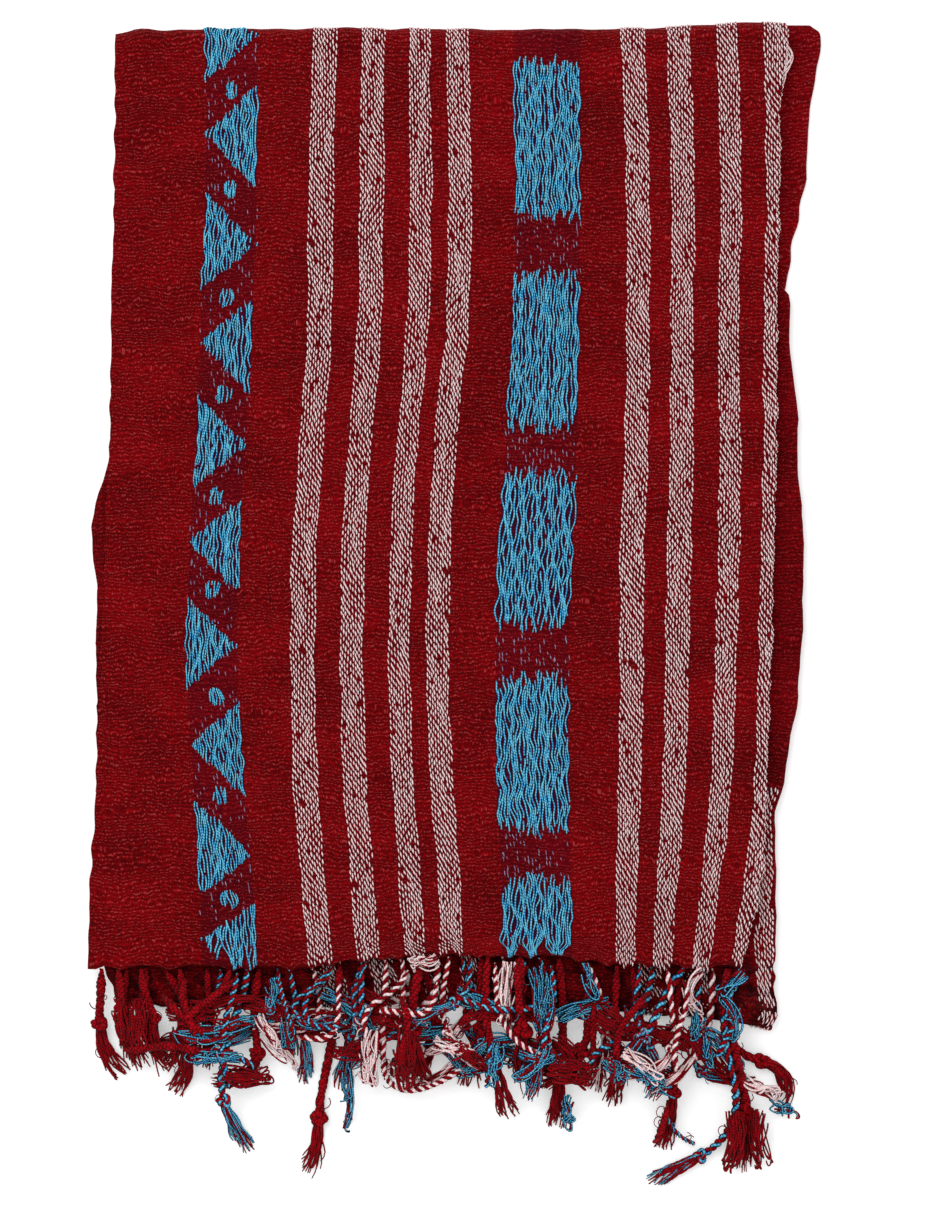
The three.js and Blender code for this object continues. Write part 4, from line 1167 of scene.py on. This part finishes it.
def make_cloths():
    # Each crepe: its crest colour with painted highlight, the darker colour of its valleys with painted
    # shade, and the colour of its painted glints.
    top_red = crepe("crepe_wool", dye(144, 2, 10), dye(76, 0, 2), dye(172, 72, 74), STRIPES, band=True)
    under_red = crepe("under_wool", dye(134, 2, 10), dye(66, 0, 2), dye(160, 50, 56), pucker_shade=True)
    back_red = crepe("back_wool", dye(152, 4, 14), dye(86, 0, 4), dye(172, 72, 74))
    rows = spaced((HEM_Y, WRAP_Y, 3.1), (WRAP_Y, WRAP_Y + WRAP * ROLL_END, 1.3))
    across = columns(HALF_WEB, 3.4, 8, 150, 2.0)
    front_cloth = front.sheet("front_cloth", across, rows, top_red, ("front_panel",), "crepe_wool")
    rows = spaced((-275, -240, 1.4), (-240, -222, 3), (-222, 112, 5), (112, 232, 12))
    across = columns(HALF_WEB, 4.0, 8, 140, 2.0)
    middle_cloth = middle.sheet("middle_cloth", across, rows, under_red, ("middle_panel",), "under_wool")
    rows = spaced((HEM_Y + 2, WRAP_Y - 1, 6), (WRAP_Y - 1, WRAP_Y - 1 + INNER_ROLL * ROLL_END, 1.2))
    across = columns(HALF_WEB, 8, 8, 150, 3.0)
    inner_cloth = inner.sheet("inner_cloth", across, rows, under_red, ("folded_core",), "under_wool")
    rows = spaced((-256, 100, 7), (100, 238, 3.5), (238, 244.6, 1.1))
    across = columns(HALF_WEB, 12, 8, 140, 2.0)
    back_cloth = back.sheet("back_cloth", across, rows, back_red, ("back_panel",), "under_wool")
    return front_cloth, middle_cloth, inner_cloth, back_cloth


def make_floats(yarns):
    """The white stripes and the blue blocks, triangles and dots that lie on the cloth."""
    made = []
    roll_end = WRAP_Y + WRAP * ROLL_END - 2
    sides = [("white_stripes_left", STRIPES[:4], 100), ("white_stripes_right", STRIPES[4:], 110)]
    for name, stripes, seed in sides:
        piece = Piece(name)
        add_white_stripes(piece, front, stripes, HEM_Y + 1.5, roll_end, seed)
        if name == "white_stripes_right":
            add_slack_floats(piece)
        made.append(piece.finished(yarns["white"]))
    under = Piece("white_stripes_under")
    shifted = [(left + 8, right + 8) for left, right in STRIPES[:6]]
    add_white_stripes(under, middle, shifted, -272, -236, 120)
    add_white_stripes(under, middle, [(157, 166)], -272, -150, 130)
    made.append(under.finished(yarns["white"]))
    blocks = Piece("blue_blocks")
    add_blocks(blocks)
    made.append(blocks.finished(yarns["blue"]))
    border = Piece("blue_border")
    add_triangles(border)
    add_dots(border)
    made.append(border.finished(yarns["blue"]))
    specks = Piece("sparse_ends")
    for number, ((_, low), (high, _)) in enumerate(zip(BLOCKS[:-1], BLOCKS[1:])):
        add_specks(specks, front, *BAND, high + 1, low - 1, 70, 140 + 3 * number)
    left, right = BORDER_Q - BORDER_HALF, BORDER_Q + BORDER_HALF
    add_specks(specks, front, left, right, HEM_Y + 3, 236, 560, 160, outside_triangles)
    made.append(specks.finished(yarns["faded"]))
    return made


def tangle():
    """Bunches of loose yarn between the two rows of cords, one every 10 mm, heading mostly along the
    hem."""
    chance = np.random.default_rng(190)
    rows = []
    for x in np.arange(-150, 135, 10):
        y, length, half, side = chance.uniform((-286, 22, 2.6, -1), (-258, 36, 4.4, 1))
        heading = np.sign(side) * chance.uniform(30, 110, 3)
        rows.append((x, y, length, half, chance.choice(("red", "red", "red", "blue")), heading))
    return rows


def make_fringes(yarns):
    lying = []
    back_fringe = fringe("back_fringe", BACK_CORDS, BACK_ROOTS, lying, yarns, 200, bunches=tangle())
    front_fringe = fringe("front_fringe", FRONT_CORDS, FRONT_ROOTS, lying, yarns, 210, LOOPS, BUNCHES)
    return back_fringe, front_fringe


def make_stage():
    """A floor, one wide soft light overhead, even light all round, and a camera that looks straight
    down."""
    floor_mesh = bpy.data.meshes.new("floor")
    half = 3.0
    corners = [(-half, -half, 0), (half, -half, 0), (half, half, 0), (-half, half, 0)]
    floor_mesh.from_pydata(corners, [], [(0, 1, 2, 3)])
    floor_mesh.materials.append(plain_floor())
    floor = bpy.data.objects.new("floor", floor_mesh)
    light = bpy.data.lights.new("overhead", "AREA")
    light.shape, light.size, light.size_y, light.energy = "RECTANGLE", 1.6, 1.2, 16.0
    lamp = bpy.data.objects.new("overhead", light)
    lamp.location = (-0.9, 0.9, 1.7)
    lamp.rotation_euler = (np.radians(-27.9), np.radians(-25.0), 0)
    camera_data = bpy.data.cameras.new("camera")
    camera_data.sensor_fit, camera_data.sensor_height, camera_data.lens = "VERTICAL", 36.0, 135.0
    camera = bpy.data.objects.new("camera", camera_data)
    picture_height, middle_x, middle_y, face_height = 0.6318, 7.8, -55.9, 0.010
    camera.location = (
        middle_x / 1000 + SHIFT[0], middle_y / 1000 + SHIFT[1],
        face_height + picture_height * camera_data.lens / camera_data.sensor_height,
    )
    for item in (floor, lamp, camera):
        bpy.context.scene.collection.objects.link(item)
    world = bpy.data.worlds.new("studio")
    world.use_nodes = True
    world.node_tree.nodes["Background"].inputs["Color"].default_value = (1, 1, 1, 1)
    world.node_tree.nodes["Background"].inputs["Strength"].default_value = 0.78
    bpy.context.scene.world = world
    bpy.context.scene.camera = camera
    bpy.context.scene.view_settings.view_transform = "Standard"


make_stage()
# Each yarn: its light and its dark colour, between which its tone and its painted twist highlight and shade
# run, the deeper colour of the painted shade on its sides, and how far that shade reaches.
YARNS = {
    "red": spun("red_yarn", dye(170, 10, 22), dye(100, 0, 8), dye(26, 0, 2)),
    "white": spun("white_yarn", dye(255, 246, 244), dye(250, 200, 204), dye(120, 44, 54), 0.68),
    "blue": spun("blue_yarn", dye(134, 234, 255), dye(16, 134, 206), dye(2, 18, 52), 1.02),
    "faded": spun("faded_yarn", dye(176, 160, 190), dye(120, 84, 122), dye(56, 20, 50)),
}
front_cloth, middle_cloth, inner_cloth, back_cloth = make_cloths()
floats = make_floats(YARNS)
back_fringe, front_fringe = make_fringes(YARNS)
